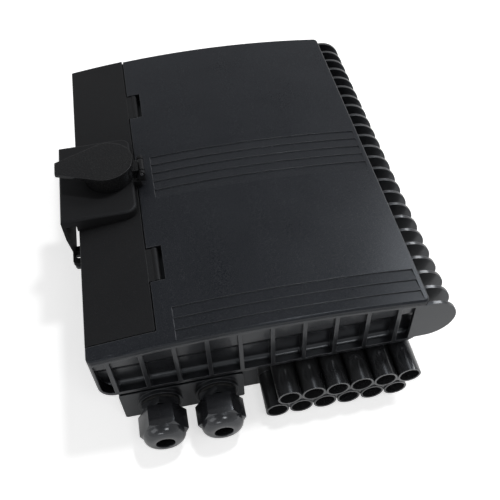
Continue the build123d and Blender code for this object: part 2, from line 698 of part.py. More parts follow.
def step_cut(y_back):
    """Wedge that leaves one shingled step facing the ports."""
    top = ARCH_R + LID_THICKNESS
    y_front = y_back - STEP_PITCH
    profile = polygon([(y_back, top - STEP_DEPTH), (y_back, top + 2), (y_front, top + 2), (y_front, top)])
    start = math.degrees(math.asin(STEP_LEFT_X / top))
    span = math.degrees(math.asin(STEP_RIGHT_X / top)) - start
    plane = Plane(origin=(0, 0, ARCH_AXIS_Z), x_dir=(0, 1, 0), z_dir=(1, 0, 0))
    face = (plane * profile).rotate(arch_axis(), start)
    return revolve(face, axis=arch_axis(), revolution_arc=span)


def knuckle_places():
    """Y places of the flap's two hinge knuckles."""
    return [LOCK_Y - KNUCKLE_Y, LOCK_Y + KNUCKLE_Y]


def arm_places():
    """Y places of the lid's hinge arms, each in a gap between two plates."""
    before = range(1, HINGE_PLATE_COUNT - 2, HINGE_ARM_EVERY)
    return [(hinge_plate_y(i) + hinge_plate_y(i + 1)) / 2 for i in before]


def hinge_arm_face():
    """Outline of one hinge arm, from the lid's edge down to the pin."""
    left = RIM_SIDE_X + 0.6
    right = left + HINGE_ARM_THICKNESS
    top = arch_z(right, LID_GAP) + 1.5
    inner = [(left, top), (left, HINGE_Z), (HINGE_X, HINGE_Z - 2)]
    outer = [(HINGE_X, HINGE_Z + 2), (right, HINGE_Z + 6), (right, top)]
    stem = polygon(inner + outer)
    eye = Pos(HINGE_X, HINGE_Z) * Circle(HINGE_BOSS_RADIUS)
    bore = Pos(HINGE_X, HINGE_Z) * Circle(HINGE_PIN_RADIUS + RUNNING_CLEARANCE)
    return stem + eye - bore


def lid():
    body = arch_slab(LID_GAP, LID_THICKNESS, -HALF_W, HALF_W, FRONT_Y, HALF_L)
    body = fillet(body.edges().filter_by(Axis.Z), PLAN_RADIUS)
    body = fillet(body.faces().sort_by(Axis.Z)[-1].outer_wire().edges(), LID_EDGE_RADIUS)
    inner_x = CAVITY_HALF_W - 2.0
    inner_y = CAVITY_HALF_L - 2.0
    body -= arch_slab(-1, LID_THICKNESS - LID_SKIN, FLAP_SEAM_X + 4, inner_x, -inner_y, inner_y)
    shelf = LID_GAP + LID_SHELF
    body -= arch_slab(shelf, LID_THICKNESS + 3, -HALF_W - 2, FLAP_SEAM_X, FLAP_FRONT_Y, HALF_L + 2)
    seat_x = -HALF_W + FLAP_SEAT_DEPTH - 0.4
    body -= block(-HALF_W - 2, seat_x, FLAP_FRONT_Y, HALF_L + 2, RIM_Z - 5, HIGH)
    body -= [step_cut(MIDDLE_STEPS_Y - i * STEP_PITCH) for i in range(MIDDLE_STEP_COUNT)]
    body -= [step_cut(FRONT_STEPS_Y - i * STEP_PITCH) for i in range(FRONT_STEP_COUNT)]
    body += lid_ribs(inner_x, inner_y)
    half = KNUCKLE_LENGTH / 2 + WINDOW_CLEARANCE
    reach = half + FLAP_PIN_BITE + 1.5
    floor_z = KNUCKLE_Z - KNUCKLE_RADIUS - 1.4
    low = floor_z - KNUCKLE_POCKET_WALL
    left_x = FLAP_SEAM_X - 2.4
    right_x = WINDOW_RIGHT_X + KNUCKLE_POCKET_WALL
    for y in knuckle_places():
        pocket = under_arch(LID_THICKNESS - 1.5, left_x, right_x, y - reach, y + reach, low)
        pocket -= arch_slab(shelf, LID_THICKNESS, left_x - 1, FLAP_SEAM_X, y - reach - 1, y + reach + 1)
        body += pocket
        body -= block(FLAP_SEAM_X - 0.4, WINDOW_RIGHT_X, y - half, y + half, floor_z, HIGH)
        pin_reach = half + FLAP_PIN_BITE
        body -= rod_y(KNUCKLE_X, KNUCKLE_Z, FLAP_PIN_RADIUS, y - pin_reach, y + pin_reach)
    arm = hinge_arm_face()
    half_arm = (HINGE_PITCH - HINGE_PLATE_THICKNESS) / 2 - HINGE_ARM_GAP
    body += [along_y(arm, y - half_arm, y + half_arm) for y in arm_places()]
    return body


def lid_ribs(inner_x, inner_y):
    """Stiffening ribs under the lid's skin."""
    low = LID_THICKNESS - LID_SKIN - LID_RIB_HEIGHT
    high = LID_THICKNESS - LID_SKIN + 0.5
    half = LID_RIB_THICKNESS / 2
    end_x = inner_x - LID_RIB_END
    end_y = inner_y - LID_RIB_END
    ribs = [arch_slab(low, high, x - half, x + half, -end_y, end_y) for x in LID_RIB_XS]
    return ribs + [arch_slab(low, high, LID_RIB_LEFT_X, end_x, y - half, y + half) for y in LID_RIB_YS]


def flap_pin(y):
    reach = KNUCKLE_LENGTH / 2 + WINDOW_CLEARANCE + FLAP_PIN_BITE
    return rod_y(KNUCKLE_X, KNUCKLE_Z, FLAP_PIN_RADIUS, y - reach, y + reach)


# Latch flap
def latch_flap():
    front = FLAP_FRONT_Y + 0.8
    flap = arch_slab(FLAP_UNDERSIDE, LID_THICKNESS, -HALF_W, FLAP_RIGHT_X, front, HALF_L)
    edge = LID_EDGE_RADIUS - 0.3
    flap = fillet(flap.edges().filter_by(Axis.Y).group_by(Axis.X)[0].sort_by(Axis.Z)[-1], edge)
    low = RIM_Z - FLAP_SKIRT
    high = RIM_Z + FLAP_UNDERSIDE
    side = block(-HALF_W, -HALF_W + FLAP_SKIRT_THICKNESS, front, HALF_L, low, high + 0.4)
    cut_y0 = LOCK_Y - STRIKE_FRONT - 3
    cut_y1 = LOCK_Y + STRIKE_BACK + 3
    side -= block(-HALF_W - 1, -HALF_W + 4, cut_y0, cut_y1, low - 1, high - 0.6)
    flap += side
    grip_x = -HALF_W - GRIP_REACH
    grip = polygon([(-HALF_W + 1, low), (grip_x, low + 1), (grip_x, low + 4), (-HALF_W + 1, low + 9)])
    flap += along_y(grip, GRIP_Y - GRIP_LENGTH / 2, GRIP_Y + GRIP_LENGTH / 2)
    for y in knuckle_places():
        half = KNUCKLE_LENGTH / 2
        arm_low = arch_z(FLAP_RIGHT_X, FLAP_UNDERSIDE)
        arm = block(FLAP_RIGHT_X - 0.5, KNUCKLE_X, y - half, y + half, arm_low, arm_low + 2.0)
        flap += arm + rod_y(KNUCKLE_X, KNUCKLE_Z, KNUCKLE_RADIUS, y - half, y + half)
        flap -= rod_y(KNUCKLE_X, KNUCKLE_Z, FLAP_PIN_RADIUS + RUNNING_CLEARANCE, y - half - 1, y + half + 1)
    return flap


# Lock bracket
def lock_bracket():
    y0 = LOCK_Y - BRACKET_HALF_LENGTH
    y1 = LOCK_Y + BRACKET_HALF_LENGTH
    foot_z = STRAP_BOTTOM_Z
    outer = block(BRACKET_LEFT_X, BRACKET_RIGHT_X, y0, y1, foot_z, BRACKET_TOP_Z)
    outer = fillet(outer.edges().filter_by(Axis.Z).group_by(Axis.X)[-1], BRACKET_CORNER_RADIUS)
    outer = fillet(outer.faces().sort_by(Axis.Z)[-1].outer_wire().edges(), 2.0)
    w = BRACKET_WALL
    side_x = -HALF_W - 0.6
    inner = block(BRACKET_LEFT_X + w, BRACKET_RIGHT_X - w, y0 + w, y1 - w, foot_z - 1, BRACKET_INNER_Z)
    inner = fillet(inner.edges().filter_by(Axis.Z).group_by(Axis.X)[-1], BRACKET_CORNER_RADIUS - w)
    bracket = outer - inner
    bracket -= block(BRACKET_LEFT_X + w, side_x, y0 - 1, y1 + 1, foot_z - 1, BRACKET_INNER_Z - 4)
    bracket -= under_arch(LID_THICKNESS, side_x - 0.2, BRACKET_RIGHT_X + 5, y0 - 5, y1 + 5, 0)
    slope = [(y0 + STRAP_TAPER, foot_z - 1), (y0, foot_z + STRAP_TAPER_HEIGHT)]
    taper = polygon([(y0 - 1, foot_z - 1), *slope, (y0 - 1, foot_z + STRAP_TAPER_HEIGHT)])
    corner = along_x(taper, BRACKET_LEFT_X - 1, side_x)
    bracket -= corner
    bracket -= Pos(0, 2 * LOCK_Y, 0) * mirrored_y(corner)
    centre_y = y0 + 3
    ear_right = STRIKE_OUTER_X + STRIKE_THICKNESS
    ear_y0 = centre_y - EAR_LENGTH / 2
    ear = block(BRACKET_LEFT_X, ear_right, ear_y0, ear_y0 + EAR_LENGTH, foot_z, foot_z + EAR_THICKNESS)
    ear = fillet(ear.edges().filter_by(Axis.Z).group_by(Axis.Y)[0], 3.0)
    bracket += ear
    hole_x = (BRACKET_LEFT_X + ear_right) / 2
    bracket -= rod_z(hole_x, centre_y, EAR_HOLE_RADIUS, foot_z - 1, foot_z + EAR_THICKNESS + 1)
    bracket += rod_z(LOCK_X, LOCK_Y, HOUSING_RADIUS, BRACKET_INNER_Z, BRACKET_TOP_Z + HOUSING_HEIGHT)
    bracket -= rod_z(LOCK_X, LOCK_Y, BARREL_RADIUS + RUNNING_CLEARANCE, BRACKET_INNER_Z - 1, HIGH)
    recess_z = BRACKET_TOP_Z + HOUSING_HEIGHT - BARREL_HEAD_HEIGHT
    bracket -= rod_z(LOCK_X, LOCK_Y, BARREL_HEAD_RADIUS + RUNNING_CLEARANCE, recess_z, HIGH)
    # Ears for the dust cap's hinge pin
    top = BRACKET_TOP_Z
    r = CAP_KNUCKLE_RADIUS
    for side in (-1, 1):
        e0, e1 = sorted((LOCK_Y + side * CHEEK_NEAR, LOCK_Y + side * CHEEK_FAR))
        cheek = block(BRACKET_RIGHT_X - 4, CAP_HINGE_X - 1.4, e0, e1, top - 6, top - 0.6)
        cheek += block(CAP_HINGE_X - r, CAP_HINGE_X + r - 0.6, e0, e1, top - 1.2, CAP_HINGE_Z)
        cheek += rod_y(CAP_HINGE_X, CAP_HINGE_Z, r, e0, e1)
        cheek -= under_arch(LID_THICKNESS, BRACKET_RIGHT_X - 6, CAP_HINGE_X + 5, e0 - 1, e1 + 1, 0)
        bracket += cheek
    reach = CHEEK_FAR + 1
    bracket -= rod_y(CAP_HINGE_X, CAP_HINGE_Z, CAP_PIN_RADIUS, LOCK_Y - reach, LOCK_Y + reach)
    return bracket


def cam_square(z0, z1):
    """Square that drives the cam."""
    half = CAM_SQUARE / 2
    return block(LOCK_X - half, LOCK_X + half, LOCK_Y - half, LOCK_Y + half, z0, z1)


def lock_cylinder():
    head_z = BRACKET_TOP_Z + HOUSING_HEIGHT - BARREL_HEAD_HEIGHT
    barrel = rod_z(LOCK_X, LOCK_Y, BARREL_HEAD_RADIUS, head_z, head_z + BARREL_HEAD_HEIGHT - 0.3)
    barrel = chamfer(barrel.edges().group_by(Axis.Z)[-1], 0.8)
    barrel += rod_z(LOCK_X, LOCK_Y, BARREL_RADIUS, CAM_Z + CAM_THICKNESS, head_z + 0.1)
    barrel += cam_square(CAM_Z, CAM_Z + CAM_THICKNESS + 0.1)
    top = head_z + BARREL_HEAD_HEIGHT
    key = along_z(Pos(LOCK_X, LOCK_Y) * RegularPolygon(5.6, 3), top - 4.3, top)
    pin = along_z(Pos(LOCK_X, LOCK_Y) * RegularPolygon(3.4, 3), top - 4.4, top - 0.9)
    return barrel - key + pin


def lock_cam():
    """Cam on the barrel's square, pointing to the far end while unlocked."""
    tip = LOCK_Y + CAM_LENGTH - CAM_WIDTH / 2
    top = CAM_Z + CAM_THICKNESS
    half = CAM_WIDTH / 2
    cam = rod_z(LOCK_X, LOCK_Y, CAM_HUB_RADIUS, CAM_Z, top)
    cam += block(LOCK_X - half, LOCK_X + half, LOCK_Y, tip, CAM_Z, top)
    cam += rod_z(LOCK_X, tip, half, CAM_Z, top)
    return cam - cam_square(CAM_Z - 1, top + 1)


def lock_cap():
    tip = CAP_TAB_WIDTH / 2
    disc = Pos(LOCK_X, LOCK_Y) * Circle(CAP_RADIUS)
    start_x = LOCK_X - CAP_RADIUS * 0.5
    wide = CAP_RADIUS * math.sqrt(0.75)
    broad_end = [(start_x, LOCK_Y - wide), (start_x, LOCK_Y + wide)]
    tab = polygon(broad_end + [(CAP_TAB_X, LOCK_Y + tip), (CAP_TAB_X, LOCK_Y - tip)])
    ceiling_z = CAP_TOP_Z - CAP_TOP_THICKNESS
    foot_radius = CAP_RADIUS - CAP_TAPER
    top = along_z(disc + tab, ceiling_z, CAP_TOP_Z)
    wall = Pos(LOCK_X, LOCK_Y, (CAP_BASE_Z + CAP_TOP_Z) / 2) * Cone(foot_radius, CAP_RADIUS, CAP_HEIGHT)
    half = CAP_LUG_HALF_WIDTH
    z0 = CAP_HINGE_Z - CAP_LUG_THICKNESS / 2
    cap = top + wall + block(LOCK_X, CAP_HINGE_X, LOCK_Y - half, LOCK_Y + half, z0, z0 + CAP_LUG_THICKNESS)
    cap += rod_y(CAP_HINGE_X, CAP_HINGE_Z, CAP_KNUCKLE_RADIUS, LOCK_Y - half, LOCK_Y + half)
    cap -= rod_z(LOCK_X, LOCK_Y, foot_radius - CAP_WALL, CAP_BASE_Z - 1, ceiling_z)
    pin_hole = CAP_PIN_RADIUS + RUNNING_CLEARANCE
    return cap - rod_y(CAP_HINGE_X, CAP_HINGE_Z, pin_hole, LOCK_Y - half - 1, LOCK_Y + half + 1)


# Glands
def gland_washer(x):
    hole = GLAND_THREAD_RADIUS + GLAND_HOLE_CLEARANCE / 2
    ring = rod_y(x, GLAND_Z, GLAND_WASHER_RADIUS, BOSS_FACE_Y - GLAND_WASHER_THICKNESS, BOSS_FACE_Y)
    return ring - rod_y(x, GLAND_Z, hole, BOSS_FACE_Y - 3, BOSS_FACE_Y + 1)


def gland_flange_y():
    """Y place of the front face of the gland body's hexagon."""
    return BOSS_FACE_Y - GLAND_WASHER_THICKNESS - GLAND_FLANGE_THICKNESS


def gland_body(x):
    flange_y = gland_flange_y()
    seat_y = BOSS_FACE_Y - GLAND_WASHER_THICKNESS
    body = hex_y(x, GLAND_Z, GLAND_HEX, flange_y, seat_y)
    back_y = BOSS_FACE_Y + GLAND_WALL + LOCKNUT_THICKNESS + 1.5
    front_y = flange_y - GLAND_FRONT_THREAD
    body += rod_y(x, GLAND_Z, GLAND_THREAD_RADIUS, seat_y, back_y)
    body += rod_y(x, GLAND_Z, GLAND_THREAD_RADIUS - THREAD_STEP, front_y, flange_y)
    return body - rod_y(x, GLAND_Z, GLAND_BODY_BORE_RADIUS, front_y - 1, back_y + 1)


def gland_locknut(x):
    seat = BOSS_FACE_Y + GLAND_WALL
    nut = hex_y(x, GLAND_Z, LOCKNUT_HEX, seat, seat + LOCKNUT_THICKNESS)
    return nut - rod_y(x, GLAND_Z, GLAND_THREAD_RADIUS, seat - 1, seat + LOCKNUT_THICKNESS + 1)


def gland_nut(x):
    """Domed nut: a hexagon that runs into a rounded nose with the cable mouth."""
    back = gland_flange_y() - NUT_GAP
    front = back - NUT_HEX_LENGTH
    nose = front - NUT_DOME_LENGTH
    corner = GLAND_HEX / math.sqrt(3) + 0.3
    lip = NUT_MOUTH_RADIUS + NUT_NOSE_LIP
    nut = hex_y(x, GLAND_Z, GLAND_HEX, nose, back)
    shoulder = ThreePointArc((corner, front + 1), (corner - 2.9, front - 6.0), (lip, nose))
    straight = Polyline((lip, nose), (0, nose), (0, back), (corner, back), (corner, front + 1))
    envelope = revolve(make_face([shoulder, straight]), axis=Axis.Y, revolution_arc=360)
    nut = nut & (Pos(x, 0, GLAND_Z) * envelope)
    thread = GLAND_THREAD_RADIUS - THREAD_STEP + RUNNING_CLEARANCE
    nut -= rod_y(x, GLAND_Z, thread, gland_flange_y() - GLAND_FRONT_THREAD - SEAL_LENGTH, back + 1)
    return nut - rod_y(x, GLAND_Z, NUT_MOUTH_RADIUS, nose - 1, back)


def gland_seal(x):
    """Rubber ring between the body's thread and the nut's nose."""
    back = gland_flange_y() - GLAND_FRONT_THREAD - 0.1
    seal = rod_y(x, GLAND_Z, GLAND_THREAD_RADIUS - 1.0, back - SEAL_LENGTH + 0.6, back)
    return seal - rod_y(x, GLAND_Z, SEAL_BORE_RADIUS, back - SEAL_LENGTH - 1, back + 1)


# Inside fittings
def adapter_places():
    """X places of the adapters in the panel."""
    return [ADAPTER_X + (i - (ADAPTER_COUNT - 1) / 2) * ADAPTER_PITCH for i in range(ADAPTER_COUNT)]


def adapter_panel():
    half = ADAPTER_PITCH * ADAPTER_COUNT / 2 + 3.0
    y0 = ADAPTER_Y - PANEL_THICKNESS / 2
    y1 = ADAPTER_Y + PANEL_THICKNESS / 2
    panel = block(ADAPTER_X - half, ADAPTER_X + half, y0, y1, PANEL_SEAT_Z, PANEL_SEAT_Z + PANEL_HEIGHT)
    low = PANEL_SEAT_Z
    panel += block(ADAPTER_X - half, ADAPTER_X + half, y0, y1 + PANEL_FOOT, low, low + PANEL_THICKNESS)
    w = ADAPTER_WIDTH / 2 + ADAPTER_CLEARANCE
    h = ADAPTER_HEIGHT / 2 + ADAPTER_CLEARANCE
    panel -= [block(x - w, x + w, y0 - 1, y1 + 1, ADAPTER_Z - h, ADAPTER_Z + h) for x in adapter_places()]
    hole = SCREW_RADIUS + SCREW_CLEARANCE
    return panel - [rod_z(x, panel_foot_y(), hole, low - 1, low + 3) for x in panel_feet()]


def adapter(x):
    w = ADAPTER_WIDTH / 2
    h = ADAPTER_HEIGHT / 2
    half = ADAPTER_LENGTH / 2
    body = block(x - w, x + w, ADAPTER_Y - half, ADAPTER_Y + half, ADAPTER_Z - h, ADAPTER_Z + h)
    flange_y = ADAPTER_Y - PANEL_THICKNESS / 2 - ADAPTER_FLANGE
    wide = w + 1.6
    tall = h + 3.0
    body += block(x - wide, x + wide, flange_y, flange_y + ADAPTER_FLANGE, ADAPTER_Z - tall, ADAPTER_Z + tall)
    open_w = w - ADAPTER_SIDE_WALL
    open_h = h - ADAPTER_CROWN_WALL
    for side in (-1, 1):
        a, b = sorted((ADAPTER_Y + side * 1.0, ADAPTER_Y + side * (half + 1)))
        body -= block(x - open_w, x + open_w, a, b, ADAPTER_Z - open_h, ADAPTER_Z + open_h)
    return body


def dust_plugs(side):
    """Plugs in one end of every adapter."""
    w = ADAPTER_WIDTH / 2 - ADAPTER_SIDE_WALL - ADAPTER_CLEARANCE
    h = ADAPTER_HEIGHT / 2 - ADAPTER_CROWN_WALL - ADAPTER_CLEARANCE
    half = ADAPTER_LENGTH / 2
    plugs = []
    for x in adapter_places():
        y0, y1 = sorted((ADAPTER_Y + side * (half - PLUG_LENGTH + 3), ADAPTER_Y + side * half))
        plug = block(x - w, x + w, y0, y1, ADAPTER_Z - h, ADAPTER_Z + h)
        g0, g1 = sorted((ADAPTER_Y + side * half, ADAPTER_Y + side * (half + PLUG_LENGTH)))
        plug += block(x - w - 1.0, x + w + 1.0, g0, g1, ADAPTER_Z - h - 1.0, ADAPTER_Z + h + 1.0)
        plugs.append(plug)
    return plugs


def splice_tray():
    cx, cy = TRAY_CENTRE
    half_x = SPLICE_TRAY_SIZE[0] / 2
    half_y = SPLICE_TRAY_SIZE[1] / 2
    z0 = SPLICE_TRAY_Z
    w = SPLICE_TRAY_WALL
    z1 = z0 + SPLICE_TRAY_HEIGHT
    tray = rounded_plan(half_x, half_y, SPLICE_TRAY_RADIUS, z0, z1, cx, cy)
    tray -= rounded_plan(half_x - w, half_y - w, SPLICE_TRAY_RADIUS - w, z0 + w, z1 + 1, cx, cy)
    outer = SlotOverall(2 * DRUM_HALF_LENGTH, 2 * DRUM_RADIUS)
    inner = SlotOverall(2 * (DRUM_HALF_LENGTH - w), 2 * (DRUM_RADIUS - w))
    drum_y = cy + DRUM_SHIFT_Y
    tray += along_z(Pos(cx, drum_y) * (outer - inner), z0, z0 + 8)
    tray -= block(cx - 12, cx + 12, drum_y - DRUM_RADIUS - 1, cy, z0 + w, z0 + 9)
    comb_x = cx - COMB_HALF_WIDTH
    tray += block(comb_x, cx + COMB_HALF_WIDTH, cy + 16, cy + 44, z0, z0 + w + 0.5)
    for i in range(COMB_SLOTS):
        left = comb_x + i * COMB_PITCH
        tray += block(left, left + COMB_WALL, cy + 18, cy + 42, z0 + w, z0 + 7)
    tray += [rod_z(x, y, TRAY_BOSS_RADIUS, z0, z0 + TRAY_BOSS_HEIGHT) for x, y in tray_posts()]
    hole = SCREW_RADIUS + SCREW_CLEARANCE
    tray -= [rod_z(x, y, hole, z0 - 1, z0 + TRAY_BOSS_HEIGHT + 2) for x, y in tray_posts()]
    front_y = cy - half_y
    for side in (-1, 1):
        gate_x = cx + side * TRAY_GATE_X
        gate = TRAY_GATE_HALF_WIDTH
        tray -= block(gate_x - gate, gate_x + gate, front_y - 1, front_y + w + 1, z0 + w + 1.5, z0 + 20)
    return tray


def tray_cover():
    cx, cy = TRAY_CENTRE
    half_x = SPLICE_TRAY_SIZE[0] / 2
    half_y = SPLICE_TRAY_SIZE[1] / 2
    z0 = SPLICE_TRAY_Z + SPLICE_TRAY_HEIGHT
    return rounded_plan(half_x, half_y, SPLICE_TRAY_RADIUS, z0, z0 + COVER_THICKNESS, cx, cy)


def screw(x, y, seat_z, length):
    """Self-tapping screw standing in its pilot hole."""
    shank = rod_z(x, y, SCREW_RADIUS - 0.05, seat_z - length, seat_z)
    return shank + rod_z(x, y, SCREW_HEAD_RADIUS, seat_z, seat_z + SCREW_HEAD_HEIGHT)


def splitter_module():
    cx, cy = TRAY_CENTRE
    half_x = SPLITTER_SIZE[0] / 2
    half_y = SPLITTER_SIZE[1] / 2
    top = FLOOR_Z + SPLITTER_SIZE[2]
    module = block(cx - half_x, cx + half_x, cy - half_y, cy + half_y, FLOOR_Z, top)
    module -= block(cx - half_x + 4, cx + half_x - 4, cy - half_y + 4, cy + half_y - 4, top - 0.6, top + 1)
    for i in range(3):
        x = cx - 20 + i * 20
        module += block(x - 3, x + 3, cy - half_y - 6, cy - half_y + 1, FLOOR_Z + 2, FLOOR_Z + 7)
    return module


def cable_saddle(x):
    y0 = CLAMP_Y - CLAMP_LENGTH / 2
    y1 = CLAMP_Y + CLAMP_LENGTH / 2
    outer_r = CLAMP_CABLE_RADIUS + CLAMP_STRAP
    ring = rod_y(x, GLAND_Z, outer_r, y0, y1)
    foot_top = CLAMP_SEAT_Z + CLAMP_STRAP
    saddle = ring + block(x - CLAMP_HALF_WIDTH, x + CLAMP_HALF_WIDTH, y0, y1, CLAMP_SEAT_Z, foot_top)
    saddle -= rod_y(x, GLAND_Z, CLAMP_CABLE_RADIUS, y0 - 1, y1 + 1)
    saddle -= block(x - 20, x + 20, y0 - 1, y1 + 1, 0, CLAMP_SEAT_Z)
    hole = SCREW_RADIUS + SCREW_CLEARANCE
    for side in (-1, 1):
        screw_x = x + side * CLAMP_SCREW_OFFSET
        saddle -= rod_z(screw_x, CLAMP_Y, hole, CLAMP_SEAT_Z - 1, foot_top + 1)
    return saddle


def anchor_plate(x):
    """Pressure washer that clamps a cable's strength member under its screw."""
    half_x = ANCHOR_PLATE_SIZE[0] / 2
    half_y = ANCHOR_PLATE_SIZE[1] / 2
    z0 = ANCHOR_HEIGHT
    plate = block(x - half_x, x + half_x, ANCHOR_Y - half_y, ANCHOR_Y + half_y, z0, z0 + ANCHOR_PLATE)
    return plate - rod_z(x, ANCHOR_Y, SCREW_RADIUS + SCREW_CLEARANCE, z0 - 1, z0 + ANCHOR_PLATE + 1)


def earth_stud():
    top = FLOOR_Z + STUD_BOSS_HEIGHT + STUD_REACH
    stud = rod_z(STUD_X, STUD_Y, STUD_RADIUS, FLOOR_Z + 0.5, top)
    return chamfer(stud.edges().group_by(Axis.Z)[-1], 0.6)


def earth_nuts():
    """Washer and nut on the earth stud."""
    top = FLOOR_Z + STUD_BOSS_HEIGHT
    seat = top + STUD_WASHER
    hole = rod_z(STUD_X, STUD_Y, STUD_RADIUS + RUNNING_CLEARANCE, top - 1, top + STUD_REACH)
    washer = rod_z(STUD_X, STUD_Y, 2 * STUD_RADIUS, top, seat) - hole
    face = Pos(STUD_X, STUD_Y) * RegularPolygon(STUD_NUT_HEX / math.sqrt(3), 6)
    return [washer, along_z(face, seat, seat + STUD_NUT_HEIGHT) - hole]


def fitting_screws():
    """All the small screws of the inside fittings."""
    saddles = [x + side * CLAMP_SCREW_OFFSET for x in GLAND_XS for side in (-1, 1)]
    screws = [screw(x, CLAMP_Y, CLAMP_SEAT_Z + CLAMP_STRAP, 8.0) for x in saddles]
    screws += [screw(x, ANCHOR_Y, ANCHOR_HEIGHT + ANCHOR_PLATE, 8.0) for x in GLAND_XS]
    screws += [screw(x, panel_foot_y(), PANEL_SEAT_Z + PANEL_THICKNESS, 4.5) for x in panel_feet()]
    return screws + [screw(x, y, SPLICE_TRAY_Z + TRAY_BOSS_HEIGHT, 10.0) for x, y in tray_posts()]


def save(name, shape):
    """Write one piece, or a group of like pieces, as parts/NAME.step."""
    solids = shape if isinstance(shape, list) else [shape]
    flat = [solid for piece in solids for solid in piece.solids()]
    whole = flat[0] if len(flat) == 1 else Compound(children=flat)
    export_step(whole, f"parts/{name}.step")


os.makedirs("parts", exist_ok=True)

save("base_shell", base_shell())
save("hinge_plates", hinge_plates())
save("gland_block", gland_block())
save("drop_tube_bank", drop_tube_bank())
save("lid_gasket", gasket_ring(GASKET_WIDTH, -GASKET_DEPTH + 0.05, -0.1))
rod_front = hinge_plate_y(0) + HINGE_PLATE_THICKNESS / 2 + HINGE_ROD_GAP
save("hinge_rod", rod_y(HINGE_X, HINGE_Z, HINGE_PIN_RADIUS, rod_front, HALF_L - HINGE_ROD_GAP))
save("lid", lid())
save("latch_flap", latch_flap())
for number, y in enumerate(knuckle_places(), start=1):
    save(f"flap_pin_{number}", flap_pin(y))
save("lock_bracket", lock_bracket())
save("lock_cylinder", lock_cylinder())
save("lock_cam", lock_cam())
save("lock_cap", lock_cap())
save("cap_pin", rod_y(CAP_HINGE_X, CAP_HINGE_Z, CAP_PIN_RADIUS, LOCK_Y - CHEEK_FAR, LOCK_Y + CHEEK_FAR))
for number, x in enumerate(GLAND_XS, start=1):
    save(f"gland_washer_{number}", gland_washer(x))
    save(f"gland_body_{number}", gland_body(x))
    save(f"gland_locknut_{number}", gland_locknut(x))
    save(f"gland_nut_{number}", gland_nut(x))
    save(f"gland_seal_{number}", gland_seal(x))
    save(f"cable_saddle_{number}", cable_saddle(x))
save("anchor_plates", [anchor_plate(x) for x in GLAND_XS])
save("fitting_screws", fitting_screws())
save("earth_stud", earth_stud())
save("earth_nut_and_washer", earth_nuts())
save("adapter_panel", adapter_panel())
for number, x in enumerate(adapter_places(), start=1):
    save(f"adapter_{number}", adapter(x))
save("drop_side_plugs", dust_plugs(-1))
save("splice_side_plugs", dust_plugs(1))
save("splitter_module", splitter_module())
save("splice_tray", splice_tray())
save("tray_cover", tray_cover())
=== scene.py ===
"""Looks of a fibre access terminal box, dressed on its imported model. Lengths are in metres."""
import logging
import math
from dataclasses import dataclass, field
from enum import Enum
from typing import Callable, Sequence, Union

import bpy
from mathutils import Matrix, Vector


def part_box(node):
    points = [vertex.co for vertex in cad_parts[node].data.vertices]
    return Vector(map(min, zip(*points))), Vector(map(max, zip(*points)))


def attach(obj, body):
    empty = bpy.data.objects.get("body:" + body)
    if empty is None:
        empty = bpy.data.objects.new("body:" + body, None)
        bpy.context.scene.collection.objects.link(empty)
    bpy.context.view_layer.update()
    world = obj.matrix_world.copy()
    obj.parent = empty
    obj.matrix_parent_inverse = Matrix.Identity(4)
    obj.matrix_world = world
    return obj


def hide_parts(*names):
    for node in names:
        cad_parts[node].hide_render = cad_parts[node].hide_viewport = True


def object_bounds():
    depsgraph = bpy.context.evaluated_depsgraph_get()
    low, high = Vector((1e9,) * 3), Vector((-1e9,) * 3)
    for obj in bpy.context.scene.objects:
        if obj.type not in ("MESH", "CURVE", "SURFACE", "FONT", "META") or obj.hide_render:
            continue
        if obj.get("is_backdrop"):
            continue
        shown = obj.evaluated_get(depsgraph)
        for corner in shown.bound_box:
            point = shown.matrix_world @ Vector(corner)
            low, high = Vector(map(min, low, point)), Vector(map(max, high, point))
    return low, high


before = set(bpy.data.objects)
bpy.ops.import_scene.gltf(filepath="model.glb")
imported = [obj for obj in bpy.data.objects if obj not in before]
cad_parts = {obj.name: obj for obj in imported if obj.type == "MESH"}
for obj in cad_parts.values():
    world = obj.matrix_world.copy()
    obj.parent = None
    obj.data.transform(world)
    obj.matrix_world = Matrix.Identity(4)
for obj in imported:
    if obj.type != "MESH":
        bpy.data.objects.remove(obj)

log = logging.getLogger("terminal_box")
Point = tuple[float, float, float]
Colour = tuple[float, float, float, float]
MM = 0.001
WELD_REACH = 0.001 * MM
SHADER_SAMPLES = 6
# How far the openness (ambient occlusion) of a surface is stretched, and what comes off it then; the result
# paints shade into recesses
OPEN_GAIN = 1.35
OPEN_LOSS = 0.15
# Least part of a face's normal that points up or down when the face does
FACING = 0.9


class Slot(Enum):
    """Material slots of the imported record."""

    SHELL = "shell_plastic"
    TUBE = "tube_plastic"
    LID = "lid_plastic"
    FLAP = "flap_plastic"
    GLAND = "gland_nylon"
    CAP = "cap_rubber"
    GASKET = "gasket_rubber"
    ROD = "rod_steel"
    PIN = "pin_steel"
    LOCK = "lock_chrome"
    CAM = "cam_steel"
    SADDLE = "saddle_steel"
    SCREW = "screw_steel"
    EARTH = "earth_brass"
    PANEL = "panel_plastic"
    ADAPTER = "adapter_blue"
    PLUG = "plug_rubber"
    SPLITTER = "splitter_plastic"
    TRAY = "tray_plastic"
    COVER = "cover_clear"


class Grain(Enum):
    """How a surface is textured by its mould or its making."""

    SPARKED = "sparked"
    BRUSHED = "brushed"
    POLISHED = "polished"


def grey(level: float) -> Colour:
    """A neutral colour of one level."""
    return (level, level, level, 1.0)


